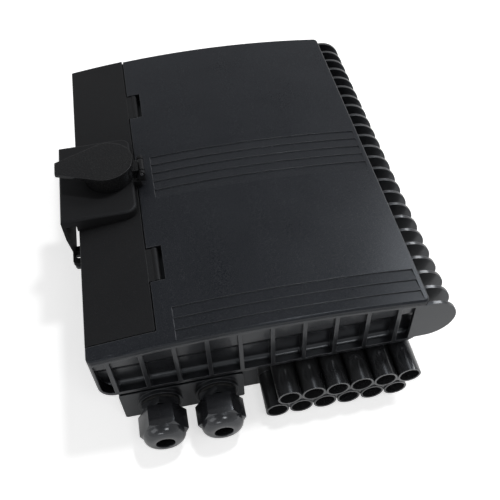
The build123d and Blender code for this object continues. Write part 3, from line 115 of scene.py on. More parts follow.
# Shader building
class Value:
    """A number socket, on which Python's operators add Math nodes."""

    def __init__(self, graph: "Graph", socket: bpy.types.NodeSocket) -> None:
        """Keeps the socket and the graph it belongs to."""
        self.graph = graph
        self.socket = socket

    def __add__(self, other: "Number") -> "Value":
        """Sum of two numbers."""
        return self.graph.maths("ADD", self, other)

    def __radd__(self, other: "Number") -> "Value":
        """Sum with a number on the left."""
        return self.graph.maths("ADD", other, self)

    def __sub__(self, other: "Number") -> "Value":
        """Difference of two numbers."""
        return self.graph.maths("SUBTRACT", self, other)

    def __rsub__(self, other: "Number") -> "Value":
        """Difference from a number on the left."""
        return self.graph.maths("SUBTRACT", other, self)

    def __mul__(self, other: "Number") -> "Value":
        """Product of two numbers."""
        return self.graph.maths("MULTIPLY", self, other)

    def clamped(self) -> "Value":
        """The number held between 0 and 1."""
        return self.graph.maths("ADD", self, 0.0, clamp=True)

    def above(self, level: float, gain: float) -> "Value":
        """How far the number lies above a level, times a gain, held between 0 and 1."""
        return ((self - level) * gain).clamped()

    def swing(self, change: float) -> "Value":
        """The number's swing about a half, times a change."""
        return (self - 0.5) * change


Number = Union[float, Value]
Feed = Union[float, Sequence[float], Value, bpy.types.NodeSocket]


class Graph:
    """Node tree of one material or world, built by short calls."""

    def __init__(self, owner: bpy.types.ID) -> None:
        """Clears the owner's nodes and takes over its tree.

        Args:
            owner: the material or world.
        """
        owner.use_nodes = True
        self.owner = owner
        self.tree = owner.node_tree
        self.tree.nodes.clear()

    def node(self, kind: str, settings: dict | None = None, sockets: dict | None = None) -> bpy.types.Node:
        """Adds one node.

        Args:
            kind: the node's type name.
            settings: properties that are set before the sockets.
            sockets: numbers, colours or links, keyed by the input's name or place.

        Returns:
            The new node.
        """
        made = self.tree.nodes.new(kind)
        for name, value in (settings or {}).items():
            setattr(made, name, value)
        for key, value in (sockets or {}).items():
            self.feed(made.inputs[key], value)
        return made

    def feed(self, socket: bpy.types.NodeSocket, value: Feed) -> None:
        """Links a socket, or sets its number or colour.

        Args:
            socket: the input to feed.
            value: what it takes.
        """
        source = value.socket if isinstance(value, Value) else value
        if isinstance(source, bpy.types.NodeSocket):
            self.tree.links.new(source, socket)
        else:
            socket.default_value = source

    def maths(self, operation: str, first: Number, second: Number, clamp: bool = False) -> Value:
        """Adds a Math node on two numbers.

        Args:
            operation: the Math node's operation.
            first: first number.
            second: second number.
            clamp: whether the result is held between 0 and 1.

        Returns:
            The result.
        """
        settings = {"operation": operation, "use_clamp": clamp}
        made = self.node("ShaderNodeMath", settings, {0: first, 1: second})
        return Value(self, made.outputs[0])

    def blend(self, share: Number, first: Feed, second: Feed) -> bpy.types.NodeSocket:
        """Mixes two colours.

        Args:
            share: how much of the second colour shows.
            first: first colour.
            second: second colour.

        Returns:
            The mixed colour.
        """
        settings = {"data_type": "RGBA", "clamp_factor": True}
        made = self.node("ShaderNodeMix", settings, {0: share, 6: first, 7: second})
        return made.outputs[2]

    def place(self, scale: Point = (1.0, 1.0, 1.0)) -> bpy.types.NodeSocket:
        """Object coordinates, stretched by a scale along each axis."""
        where = self.node("ShaderNodeTexCoord").outputs["Object"]
        return self.node("ShaderNodeMapping", sockets={"Vector": where, "Scale": scale}).outputs[0]

    def noise(self, size: float, detail: float = 2.0, scale: Point = (1.0, 1.0, 1.0)) -> Value:
        """Soft noise.

        Args:
            size: size of its spots.
            detail: how many finer layers it has.
            scale: stretch along each axis.

        Returns:
            A number around a half.
        """
        sockets = {"Vector": self.place(scale), "Scale": 1 / size, "Detail": detail}
        return Value(self, self.node("ShaderNodeTexNoise", sockets=sockets).outputs[0])

    def edges(self, radius: float, gain: float) -> tuple[bpy.types.NodeSocket, Value]:
        """Rounded edges and where they are.

        Args:
            radius: radius that a sharp edge seems to have.
            gain: how quickly the mask rises away from the flat.

        Returns:
            The rounded normal, and a mask that is 1 on edges.
        """
        samples = {"samples": SHADER_SAMPLES}
        rounded = self.node("ShaderNodeBevel", samples, {"Radius": radius}).outputs[0]
        flat = self.node("ShaderNodeNewGeometry").outputs["Normal"]
        along = self.node("ShaderNodeVectorMath", {"operation": "DOT_PRODUCT"}, {0: rounded, 1: flat})
        mask = ((1.0 - Value(self, along.outputs["Value"])) * gain).clamped()
        return rounded, mask

    def openness(self, reach: float) -> Value:
        """How open the surface lies.

        Args:
            reach: how far away a wall still counts.

        Returns:
            A number that is 1 in the open, and less in a recess or a corner.
        """
        samples = {"samples": SHADER_SAMPLES}
        made = self.node("ShaderNodeAmbientOcclusion", samples, {"Distance": reach})
        return (Value(self, made.outputs["AO"]) * OPEN_GAIN - OPEN_LOSS).clamped()

    def bump(self, height: Value, depth: float, under: bpy.types.NodeSocket) -> bpy.types.NodeSocket:
        """Bumps a surface.

        Args:
            height: number that drives the bumps.
            depth: height of a full bump.
            under: normal that the bumps stand on.

        Returns:
            The bumped normal.
        """
        sockets = {"Height": height, "Distance": depth, "Strength": 1.0, "Normal": under}
        return self.node("ShaderNodeBump", sockets=sockets).outputs[0]

    def surface(self, sockets: dict) -> None:
        """Ends the graph with a Principled shader that takes the given sockets."""
        shader = self.node("ShaderNodeBsdfPrincipled", sockets=sockets)
        self.node("ShaderNodeOutputMaterial", sockets={"Surface": shader.outputs[0]})


# Finishes
@dataclass(frozen=True)
class Moulding:
    """Injection moulded plastic with a sparked or polished skin, lighter edges that stand for both wear and
    a painted highlight, and painted shade in its recesses.
    """

    colour: Colour
    cloud: Colour
    edge: Colour
    roughness: float
    roughness_change: float = 0.08
    grain: Grain = Grain.SPARKED
    grain_size: float = 0.5 * MM
    grain_depth: float = 0.012 * MM
    flow_size: float = 6 * MM
    flow_stretch: Point = (0.3, 1.0, 1.0)
    cloud_size: float = 45 * MM
    edge_radius: float = 0.7 * MM
    edge_gain: float = 4.0
    edge_share: float = 0.5
    coat: float = 0.0
    coat_roughness: float = 0.1
    specular: float = 0.5
    sheen: Colour = (0.84, 0.91, 1.0, 1.0)
    # Painted shade: the colour, reach and strength of the darkening mixed in where ambient occlusion finds a
    # recess
    recess_shadow_colour: Colour = grey(0.001)
    recess_reach: float = 14 * MM
    recess_shade: float = 0.85

    def build(self, name: str) -> bpy.types.Material:
        """Builds the material.

        Args:
            name: the material's name.

        Returns:
            The material.
        """
        graph = Graph(bpy.data.materials.new(name))
        normal, edge = graph.edges(self.edge_radius, self.edge_gain)
        cloud = graph.noise(self.cloud_size, detail=3.0)
        speck = graph.noise(self.grain_size, detail=1.0)
        # open_share is ambient occlusion: it paints shade into recesses and takes the coat's reflection out
        # of them
        open_share = graph.openness(self.recess_reach)
        body = graph.blend(cloud.above(level=0.35, gain=2.5), self.colour, self.cloud)
        body = graph.blend(speck.above(level=0.5, gain=0.6), body, self.edge)
        # Lighter edges: real wear and a painted highlight along edges in one
        body = graph.blend(edge * self.edge_share, body, self.edge)
        # Painted shade: recesses blended towards the dark recess colour
        body = graph.blend((1.0 - open_share) * self.recess_shade, body, self.recess_shadow_colour)
        rough = self.roughness + cloud.swing(self.roughness_change)
        if self.grain is Grain.SPARKED:
            rough = rough + speck.swing(self.roughness_change)
            normal = graph.bump(speck, self.grain_depth, normal)
        else:
            flow = graph.noise(self.flow_size, scale=self.flow_stretch)
            normal = graph.bump(flow, self.grain_depth, normal)
        graph.surface({
            "Base Color": body,
            "Roughness": rough.clamped(),
            "Normal": normal,
            "Coat Weight": open_share * self.coat,
            "Coat Roughness": self.coat_roughness,
            "Specular IOR Level": self.specular,
            "Specular Tint": self.sheen,
        })
        return graph.owner


@dataclass(frozen=True)
class PlatedMetal:
    """Steel, zinc or brass with drawn lines or a turned shine, and a little tarnish."""

    colour: Colour
    tarnish: Colour
    roughness: float
    grain: Grain = Grain.BRUSHED
    spot_size: float = 4 * MM
    spot_change: float = 0.18
    line_width: float = 0.25 * MM
    line_depth: float = 0.01 * MM
    line_change: float = 0.2
    line_stretch: Point = (1.0, 0.05, 1.0)
    bright: Colour = grey(0.85)
    edge_radius: float = 0.25 * MM
    edge_gain: float = 4.0
    edge_share: float = 0.5

    def build(self, name: str) -> bpy.types.Material:
        """Builds the material.

        Args:
            name: the material's name.

        Returns:
            The material.
        """
        graph = Graph(bpy.data.materials.new(name))
        normal, edge = graph.edges(self.edge_radius, self.edge_gain)
        spots = graph.noise(self.spot_size, detail=4.0)
        body = graph.blend(spots.above(level=0.45, gain=3.0), self.colour, self.tarnish)
        body = graph.blend(edge * self.edge_share, body, self.bright)
        rough = self.roughness + spots.swing(self.spot_change)
        if self.grain is Grain.BRUSHED:
            lines = graph.noise(self.line_width, scale=self.line_stretch)
            rough = rough + lines.swing(self.line_change)
            normal = graph.bump(lines, self.line_depth, normal)
        graph.surface({"Base Color": body, "Metallic": 1.0, "Roughness": rough.clamped(), "Normal": normal})
        return graph.owner


@dataclass(frozen=True)
class SoftRubber:
    """Matt rubber or foam with a fine open skin."""

    colour: Colour
    dust: Colour
    roughness: float = 0.75
    pore_size: float = 0.6 * MM
    pore_depth: float = 0.06 * MM
    patch_size: float = 18 * MM
    patch_change: float = 0.15
    edge_radius: float = 0.5 * MM
    edge_gain: float = 3.0
    edge_share: float = 0.35
    specular: float = 0.35

    def build(self, name: str) -> bpy.types.Material:
        """Builds the material.

        Args:
            name: the material's name.

        Returns:
            The material.
        """
        graph = Graph(bpy.data.materials.new(name))
        normal, edge = graph.edges(self.edge_radius, self.edge_gain)
        pores = graph.noise(self.pore_size, detail=3.0)
        patch = graph.noise(self.patch_size)
        body = graph.blend(patch.above(level=0.4, gain=2.0), self.colour, self.dust)
        body = graph.blend(edge * self.edge_share, body, self.dust)
        rough = self.roughness + patch.swing(self.patch_change)
        graph.surface({
            "Base Color": body,
            "Roughness": rough.clamped(),
            "Normal": graph.bump(pores, self.pore_depth, normal),
            "Specular IOR Level": self.specular,
        })
        return graph.owner


@dataclass(frozen=True)
class ClearSheet:
    """Thin see-through plastic with frosted patches."""

    colour: Colour
    frosted: Colour
    alpha: float = 0.12
    alpha_change: float = 0.08
    roughness: float = 0.18
    roughness_change: float = 0.15
    haze_size: float = 30 * MM

    def build(self, name: str) -> bpy.types.Material:
        """Builds the material.

        Args:
            name: the material's name.

        Returns:
            The material.
        """
        graph = Graph(bpy.data.materials.new(name))
        haze = graph.noise(self.haze_size, detail=3.0)
        body = graph.blend(haze, self.colour, self.frosted)
        rough = self.roughness + haze * self.roughness_change
        alpha = self.alpha + haze.swing(self.alpha_change)
        graph.surface({"Base Color": body, "Roughness": rough, "Alpha": alpha.clamped()})
        return graph.owner


Finish = Union[Moulding, PlatedMetal, SoftRubber, ClearSheet]


@dataclass
class Palette:
    """The box's finishes, one for each material slot, built when first asked for."""

    finishes: dict[Slot, Finish]
    made: dict[Slot, bpy.types.Material] = field(default_factory=dict)

    def of(self, slot: Slot) -> bpy.types.Material:
        """The material of a slot.

        Args:
            slot: the slot.

        Returns:
            Its material.
        """
        if slot not in self.made:
            self.made[slot] = self.finishes[slot].build(slot.value)
        return self.made[slot]


def box_palette() -> Palette:
    """Finishes of the box, matched to the photograph where it shows them.

    Returns:
        The palette, with nothing built yet.
    """
    bluish = (0.0100, 0.0112, 0.0142, 1.0)
    shade = (0.0095, 0.0098, 0.0115, 1.0)
    # Edge colour of the dark plastics: real wear, and a painted highlight along edges and rims
    worn_and_highlit = (0.15, 0.152, 0.16, 1.0)
    steel = PlatedMetal((0.55, 0.55, 0.56, 1.0), (0.42, 0.41, 0.40, 1.0), 0.3)
    # Each Moulding paints shade into its recesses, and its edge colour is wear and a painted highlight in
    # one
    return Palette({
        Slot.SHELL: Moulding(shade, (0.012, 0.0123, 0.014, 1.0), worn_and_highlit, 0.3, edge_share=0.55, coat=0.4),
        # Tubes: lighter edges as wear and painted highlight, and weaker painted shade in their recesses
        Slot.TUBE: Moulding((0.0145, 0.015, 0.017, 1.0), grey(0.019), worn_and_highlit, 0.27, grain=Grain.POLISHED,
                            edge_share=0.6, coat=1.0, recess_reach=6 * MM, recess_shade=0.6),
        # The lid's light edge colour paints the highlight along its steps and front edge, besides wear
        Slot.LID: Moulding(bluish, (0.0125, 0.0138, 0.0172, 1.0), (0.22, 0.225, 0.24, 1.0), 0.3,
                           edge_share=0.5, specular=0.28),
        Slot.FLAP: Moulding((0.0112, 0.0112, 0.0120, 1.0), (0.0130, 0.0130, 0.0137, 1.0), grey(0.08), 0.48,
                            edge_share=0.3, specular=0.15),
        Slot.GLAND: Moulding((0.011, 0.0114, 0.0132, 1.0), (0.014, 0.0144, 0.0165, 1.0), worn_and_highlit, 0.24,
                             grain=Grain.POLISHED, grain_depth=0.004 * MM, edge_share=0.08, coat=1.0),
        Slot.CAP: Moulding((0.007, 0.007, 0.008, 1.0), grey(0.0095), grey(0.12), 0.25,
                           grain=Grain.POLISHED, grain_depth=0.004 * MM, edge_share=0.35, specular=0.2,
                           coat=0.25),
        Slot.GASKET: SoftRubber(grey(0.02), grey(0.045)),
        Slot.ROD: steel,
        Slot.PIN: steel,
        Slot.LOCK: PlatedMetal(grey(0.72), grey(0.6), 0.16, grain=Grain.POLISHED),
        Slot.CAM: PlatedMetal((0.62, 0.58, 0.45, 1.0), (0.5, 0.44, 0.3, 1.0), 0.3),
        Slot.SADDLE: PlatedMetal(grey(0.58), grey(0.45), 0.32),
        Slot.SCREW: PlatedMetal(grey(0.62), grey(0.5), 0.26, grain=Grain.POLISHED),
        Slot.EARTH: PlatedMetal((0.72, 0.55, 0.25, 1.0), (0.52, 0.37, 0.16, 1.0), 0.25,
                                grain=Grain.POLISHED),
        Slot.PANEL: Moulding(grey(0.03), grey(0.038), grey(0.12), 0.5),
        Slot.ADAPTER: Moulding((0.01, 0.075, 0.34, 1.0), (0.012, 0.085, 0.38, 1.0), (0.1, 0.2, 0.5, 1.0),
                               0.32, grain=Grain.POLISHED),
        Slot.PLUG: SoftRubber((0.62, 0.62, 0.58, 1.0), (0.5, 0.49, 0.45, 1.0), 0.5,
                              pore_size=1.0 * MM, pore_depth=0.02 * MM),
        Slot.SPLITTER: Moulding((0.42, 0.42, 0.4, 1.0), (0.46, 0.46, 0.44, 1.0), grey(0.6), 0.45),
        Slot.TRAY: Moulding(grey(0.045), grey(0.055), grey(0.16), 0.45),
        Slot.COVER: ClearSheet((0.45, 0.48, 0.50, 1.0), (0.60, 0.62, 0.64, 1.0)),
    })


# Modelling steps that the sub-assemblies share
def deselect() -> None:
    """Leaves object mode and nothing selected."""
    if bpy.context.object and bpy.context.object.mode != "OBJECT":
        bpy.ops.object.mode_set(mode="OBJECT")
    bpy.ops.object.select_all(action="DESELECT")


def activate(piece: bpy.types.Object) -> None:
    """Selects one object alone and makes it active.

    Args:
        piece: the object.
    """
    deselect()
    piece.select_set(True)
    bpy.context.view_layer.objects.active = piece


def settle(piece: bpy.types.Object, name: str) -> bpy.types.Object:
    """Names a finished piece, puts its place into its mesh and turns its faces outwards.

    Args:
        piece: the piece.
        name: its name.

    Returns:
        The piece.
    """
    activate(piece)
    bpy.ops.object.transform_apply(location=True, rotation=True, scale=True)
    bpy.ops.object.mode_set(mode="EDIT")
    bpy.ops.mesh.select_all(action="SELECT")
    bpy.ops.mesh.remove_doubles(threshold=WELD_REACH)
    bpy.ops.mesh.normals_make_consistent(inside=False)
    bpy.ops.object.mode_set(mode="OBJECT")
    piece.name = name
    piece.data.name = name
    return piece


def faces_up(centre: Vector, normal: Vector) -> bool:
    """Whether a face with this centre and normal looks up."""
    return normal.z > FACING


def faces_down(centre: Vector, normal: Vector) -> bool:
    """Whether a face with this centre and normal looks down."""
    return normal.z < -FACING


def pick_faces(piece: bpy.types.Object, test: Callable[[Vector, Vector], bool]) -> None:
    """Enters edit mode with only some faces selected.

    Args:
        piece: the piece.
        test: takes a face's centre and normal and says whether it is selected.
    """
    activate(piece)
    bpy.ops.object.mode_set(mode="EDIT")
    bpy.ops.mesh.select_mode(type="FACE")
    bpy.ops.mesh.select_all(action="DESELECT")
    bpy.ops.object.mode_set(mode="OBJECT")
    for face in piece.data.polygons:
        face.select = test(face.center, face.normal)
    bpy.ops.object.mode_set(mode="EDIT")


def apply_modifier(piece: bpy.types.Object, kind: str, **settings: object) -> None:
    """Adds a modifier with its settings and applies it.

    Args:
        piece: the piece.
        kind: the modifier's type.
        **settings: its properties.
    """
    activate(piece)
    modifier = piece.modifiers.new("shape", kind)
    for name, value in settings.items():
        setattr(modifier, name, value)
    bpy.ops.object.modifier_apply(modifier=modifier.name)


def duplicate(piece: bpy.types.Object, name: str, shift: Vector) -> bpy.types.Object:
    """Copies a finished piece with a mesh of its own.

    Args:
        piece: the piece to copy.
        name: the copy's name.
        shift: how far the copy stands from it.

    Returns:
        The copy.
    """
    activate(piece)
    bpy.ops.object.duplicate(linked=False)
    copy = bpy.context.object
    bpy.ops.transform.translate(value=shift)
    bpy.ops.object.transform_apply(location=True, rotation=True, scale=True)
    copy.name = name
    copy.data.name = name
    return copy


def smooth(piece: bpy.types.Object, angle: float) -> None:
    """Shades a piece smooth below an angle in degrees."""
    activate(piece)
    bpy.ops.object.shade_smooth_by_angle(angle=math.radians(angle))


def node_islands(node: str, reach: float) -> list[tuple[Vector, Vector]]:
    """Boxes of the separate solids of a CAD node.

    Args:
        node: the node's name.
        reach: how far apart two solids are at least, seen from above.

    Returns:
        Lowest and highest corner of each solid, from left to right.
    """
    groups: list[list[Vector]] = []
    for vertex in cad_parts[node].data.vertices:
        near = [group for group in groups if (group[0].xy - vertex.co.xy).length < reach]
        if near:
            near[0].append(vertex.co.copy())
        else:
            groups.append([vertex.co.copy()])
    boxes = []
    for group in groups:
        low = Vector(min(point[axis] for point in group) for axis in range(3))
        high = Vector(max(point[axis] for point in group) for axis in range(3))
        boxes.append((low, high))
    return sorted(boxes, key=lambda box: (round(box[0].x, 3), box[0].y))


# Sub-assemblies
@dataclass
class Assembly:
    """A sub-assembly: the CAD nodes it dresses and the palette it takes finishes from."""

    palette: Palette

    def dress(self, node: str, slot: Slot) -> None:
        """Gives a CAD node its finish.

        Args:
            node: the node's name.
            slot: the finish.
        """
        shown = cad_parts[node]
        if not shown.material_slots:
            shown.data.materials.append(None)
        for place in shown.material_slots:
            place.material = self.palette.of(slot)
        log.info("dressed %s in %s", node, slot.value)

    def fit(self, piece: bpy.types.Object, slot: Slot, body: str, *nodes: str) -> None:
        """Gives a new piece its finish and its place in the frame.

        Args:
            piece: the piece.
            slot: the finish.
            body: the body that it moves with.
            *nodes: CAD nodes that it stands for.
        """
        piece.data.materials.clear()
        piece.data.materials.append(self.palette.of(slot))
        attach(piece, body)
        if nodes:
            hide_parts(*nodes)
        log.info("fitted %s in %s", piece.name, slot.value)

    def build(self) -> None:
        """Builds the sub-assembly's pieces."""
        raise NotImplementedError


@dataclass
class Housing(Assembly):
    """Base shell with its hinge plates, gland block, tube bank, hinge rod and the gasket in its rim."""

    gasket_radius: float = 1.4 * MM
    gasket_corner: float = 6.0 * MM
    corner_segments: int = 6
    side_cuts: int = 12
    round_steps: int = 3
    side_reach: float = 0.2 * MM
    shade_angle: float = 50.0

    def build(self) -> None:
        """Dresses the shell and lays the gasket."""
        for node in ("base_shell", "hinge_plates", "gland_block"):
            self.dress(node, Slot.SHELL)
        self.dress("drop_tube_bank", Slot.TUBE)
        self.dress("hinge_rod", Slot.ROD)
        self.lay_gasket()

    def lay_gasket(self) -> None:
        """Lays a round foam cord in the rim's groove, in place of the square CAD ring."""
        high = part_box("lid_gasket")[1]
        rim = [vertex.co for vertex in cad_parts["lid_gasket"].data.vertices]
        radius = self.gasket_radius
        half = Vector((high.x - radius, high.y - radius))
        edge_top = max(point.z for point in rim if point.x > high.x - self.side_reach)
        rise = high.z - edge_top
        dome = (half.x ** 2 + rise ** 2) / (2 * rise)
        deselect()
        bpy.ops.mesh.primitive_plane_add(size=2, location=(0, 0, 0))
        ring = bpy.context.object
        ring.scale = (half.x, half.y, 1)
        bpy.ops.object.transform_apply(scale=True)
        bpy.ops.object.mode_set(mode="EDIT")
        bpy.ops.mesh.select_all(action="SELECT")
        bpy.ops.mesh.bevel(offset=self.gasket_corner, segments=self.corner_segments, affect="VERTICES")
        bpy.ops.mesh.delete(type="ONLY_FACE")
        bpy.ops.mesh.select_all(action="SELECT")
        bpy.ops.mesh.subdivide(number_cuts=self.side_cuts)
        bpy.ops.object.mode_set(mode="OBJECT")
        for vertex in ring.data.vertices:
            drop = dome - math.sqrt(dome ** 2 - vertex.co.x ** 2)
            vertex.co.z = high.z - radius - drop
        activate(ring)
        bpy.ops.object.convert(target="CURVE")
        ring.data.bevel_depth = radius
        ring.data.bevel_resolution = self.round_steps
        bpy.ops.object.convert(target="MESH")
        settle(ring, "gasket_cord")
        smooth(ring, self.shade_angle)
        self.fit(ring, Slot.GASKET, "base", "lid_gasket")


@dataclass
class Lid(Assembly):
    """Domed lid and the two pins of the flap's hinge."""

    def build(self) -> None:
        """Dresses the lid and its pins."""
        self.dress("lid", Slot.LID)
        self.dress("flap_pin_1", Slot.PIN)
        self.dress("flap_pin_2", Slot.PIN)


@dataclass
class Latch(Assembly):
    """Latch flap with the lock bracket, lock, cam and dust cap."""

    def build(self) -> None:
        """Dresses the latch's pieces."""
        self.dress("latch_flap", Slot.FLAP)
        self.dress("lock_bracket", Slot.FLAP)
        self.dress("lock_cylinder", Slot.LOCK)
        self.dress("lock_cam", Slot.CAM)
        self.dress("lock_cap", Slot.CAP)
        self.dress("cap_pin", Slot.PIN)


@dataclass(frozen=True)
class NutSize:
    """Sizes and place of a gland's domed nut, whose axis runs along Y."""

    x: float
    z: float
    back: float
    nose: float
    front: float
    across: float


@dataclass
class CableGland(Assembly):
    """The two feeder glands, with domed nuts modelled for their rounded edges."""

    edge_round: float = 0.45 * MM
    edge_segments: int = 3
    edge_angle: float = 28.0
    shade_angle: float = 40.0
    ring_segments: int = 48
    dome_segments: int = 8
    hexagon_share: float = 0.63
    chamfer: float = 1.3 * MM
    corner_margin: float = 0.3 * MM
    side_margin: float = 0.1 * MM
    mouth_radius: float = 6.8 * MM
    lip_width: float = 1.6 * MM
    flare: float = 0.5 * MM
    flare_depth: float = 1.2 * MM
    thread_radius: float = 10.55 * MM
    shoulder_depth: float = 6.0 * MM
    overshoot: float = 1 * MM
    axis_gap: float = 0.01 * MM

    def build(self) -> None:
        """Dresses both glands and puts a modelled nut on each."""
        for number in (1, 2):
            self.dress(f"gland_washer_{number}", Slot.GASKET)
            self.dress(f"gland_body_{number}", Slot.GLAND)
            self.dress(f"gland_locknut_{number}", Slot.GLAND)
            self.dress(f"gland_seal_{number}", Slot.GASKET)
        first = self.model_nut()
        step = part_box("gland_nut_2")[0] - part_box("gland_nut_1")[0]
        second = duplicate(first, "domed_nut_2", step)
        self.fit(first, Slot.GLAND, "nut_1", "gland_nut_1")
        self.fit(second, Slot.GLAND, "nut_2", "gland_nut_2")

    def nut_size(self) -> NutSize:
        """Reads the first nut's sizes from its CAD node.

        Returns:
            The sizes, with the end of the hexagon worked out from its share of the length.
        """
        low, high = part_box("gland_nut_1")
        return NutSize(
            x=(low.x + high.x) / 2,
            z=(low.z + high.z) / 2,
            back=high.y,
            nose=low.y,
            front=high.y - (high.y - low.y) * self.hexagon_share,
            across=high.z - low.z,
        )

    def model_nut(self) -> bpy.types.Object:
        """Models one domed nut: a hexagon cut by a spun envelope, bored and with rounded edges.

        Returns:
            The nut, at the first gland's place.
        """
        size = self.nut_size()
        corner = size.across / math.sqrt(3)
        depth = size.back - size.nose
        middle = (size.x, (size.back + size.nose) / 2, size.z)
        deselect()
        bpy.ops.mesh.primitive_cylinder_add(vertices=6, radius=corner, depth=depth, location=middle,
                                            rotation=(math.radians(90), math.radians(30), 0))
        nut = bpy.context.object
        envelope = self.spin_envelope(size, corner)
        apply_modifier(nut, "BOOLEAN", operation="INTERSECT", object=envelope, solver="EXACT")
        bpy.data.objects.remove(envelope)
        bore = self.spin_bore(size)
        apply_modifier(nut, "BOOLEAN", operation="DIFFERENCE", object=bore, solver="EXACT")
        bpy.data.objects.remove(bore)
        settle(nut, "domed_nut_1")
        apply_modifier(nut, "BEVEL", width=self.edge_round, segments=self.edge_segments,
                       limit_method="ANGLE", angle_limit=math.radians(self.edge_angle), harden_normals=False)
        smooth(nut, self.shade_angle)
        return nut

    def spin_profile(self, points: Sequence[tuple[float, float]], size: NutSize) -> bpy.types.Object:
        """Spins an outline about the gland's axis.

        Args:
            points: radius and Y place of each point of the outline.
            size: the nut's sizes.

        Returns:
            The spun solid.
        """
        deselect()
        bpy.ops.mesh.primitive_circle_add(vertices=len(points), radius=1.0, fill_type="NOTHING")
        profile = bpy.context.object
        for vertex, (radius, y) in zip(profile.data.vertices, points):
            vertex.co = (size.x + radius, y, size.z)
        bpy.ops.object.mode_set(mode="EDIT")
        bpy.ops.mesh.select_all(action="SELECT")
        centre = (size.x, 0, size.z)
        bpy.ops.mesh.spin(steps=self.ring_segments, angle=2 * math.pi, center=centre, axis=(0, 1, 0))
        bpy.ops.object.mode_set(mode="OBJECT")
        return settle(profile, "spun")

    def spin_envelope(self, size: NutSize, corner: float) -> bpy.types.Object:
        """Spins the envelope that chamfers the hexagon and rounds the nose to a dome.

        Args:
            size: the nut's sizes.
            corner: radius of the hexagon's corners.

        Returns:
            The envelope.
        """
        lip = self.mouth_radius + self.lip_width
        wide = corner + self.corner_margin
        side = size.across / 2 + self.side_margin
        behind = size.back + self.overshoot
        dome_start = size.front - self.chamfer
        reach = dome_start - size.nose
        outline = [(self.axis_gap, behind), (wide, behind), (wide, size.front)]
        for step in range(self.dome_segments + 1):
            turn = math.radians(90 * step / self.dome_segments)
            outline.append((lip + (side - lip) * math.cos(turn), dome_start - reach * math.sin(turn)))
        outline.append((self.axis_gap, size.nose))
        return self.spin_profile(outline, size)

    def spin_bore(self, size: NutSize) -> bpy.types.Object:
        """Spins the bore with the wide thread and the narrower cable mouth.

        Args:
            size: the nut's sizes.

        Returns:
            The bore.
        """
        before = size.nose - self.overshoot
        behind = size.back + self.overshoot
        shoulder = size.nose + self.shoulder_depth
        outline = [
            (self.axis_gap, before),
            (self.mouth_radius + self.flare, before),
            (self.mouth_radius, size.nose + self.flare_depth),
            (self.mouth_radius, shoulder),
            (self.thread_radius, shoulder),
            (self.thread_radius, behind),
            (self.axis_gap, behind),
        ]
        return self.spin_profile(outline, size)


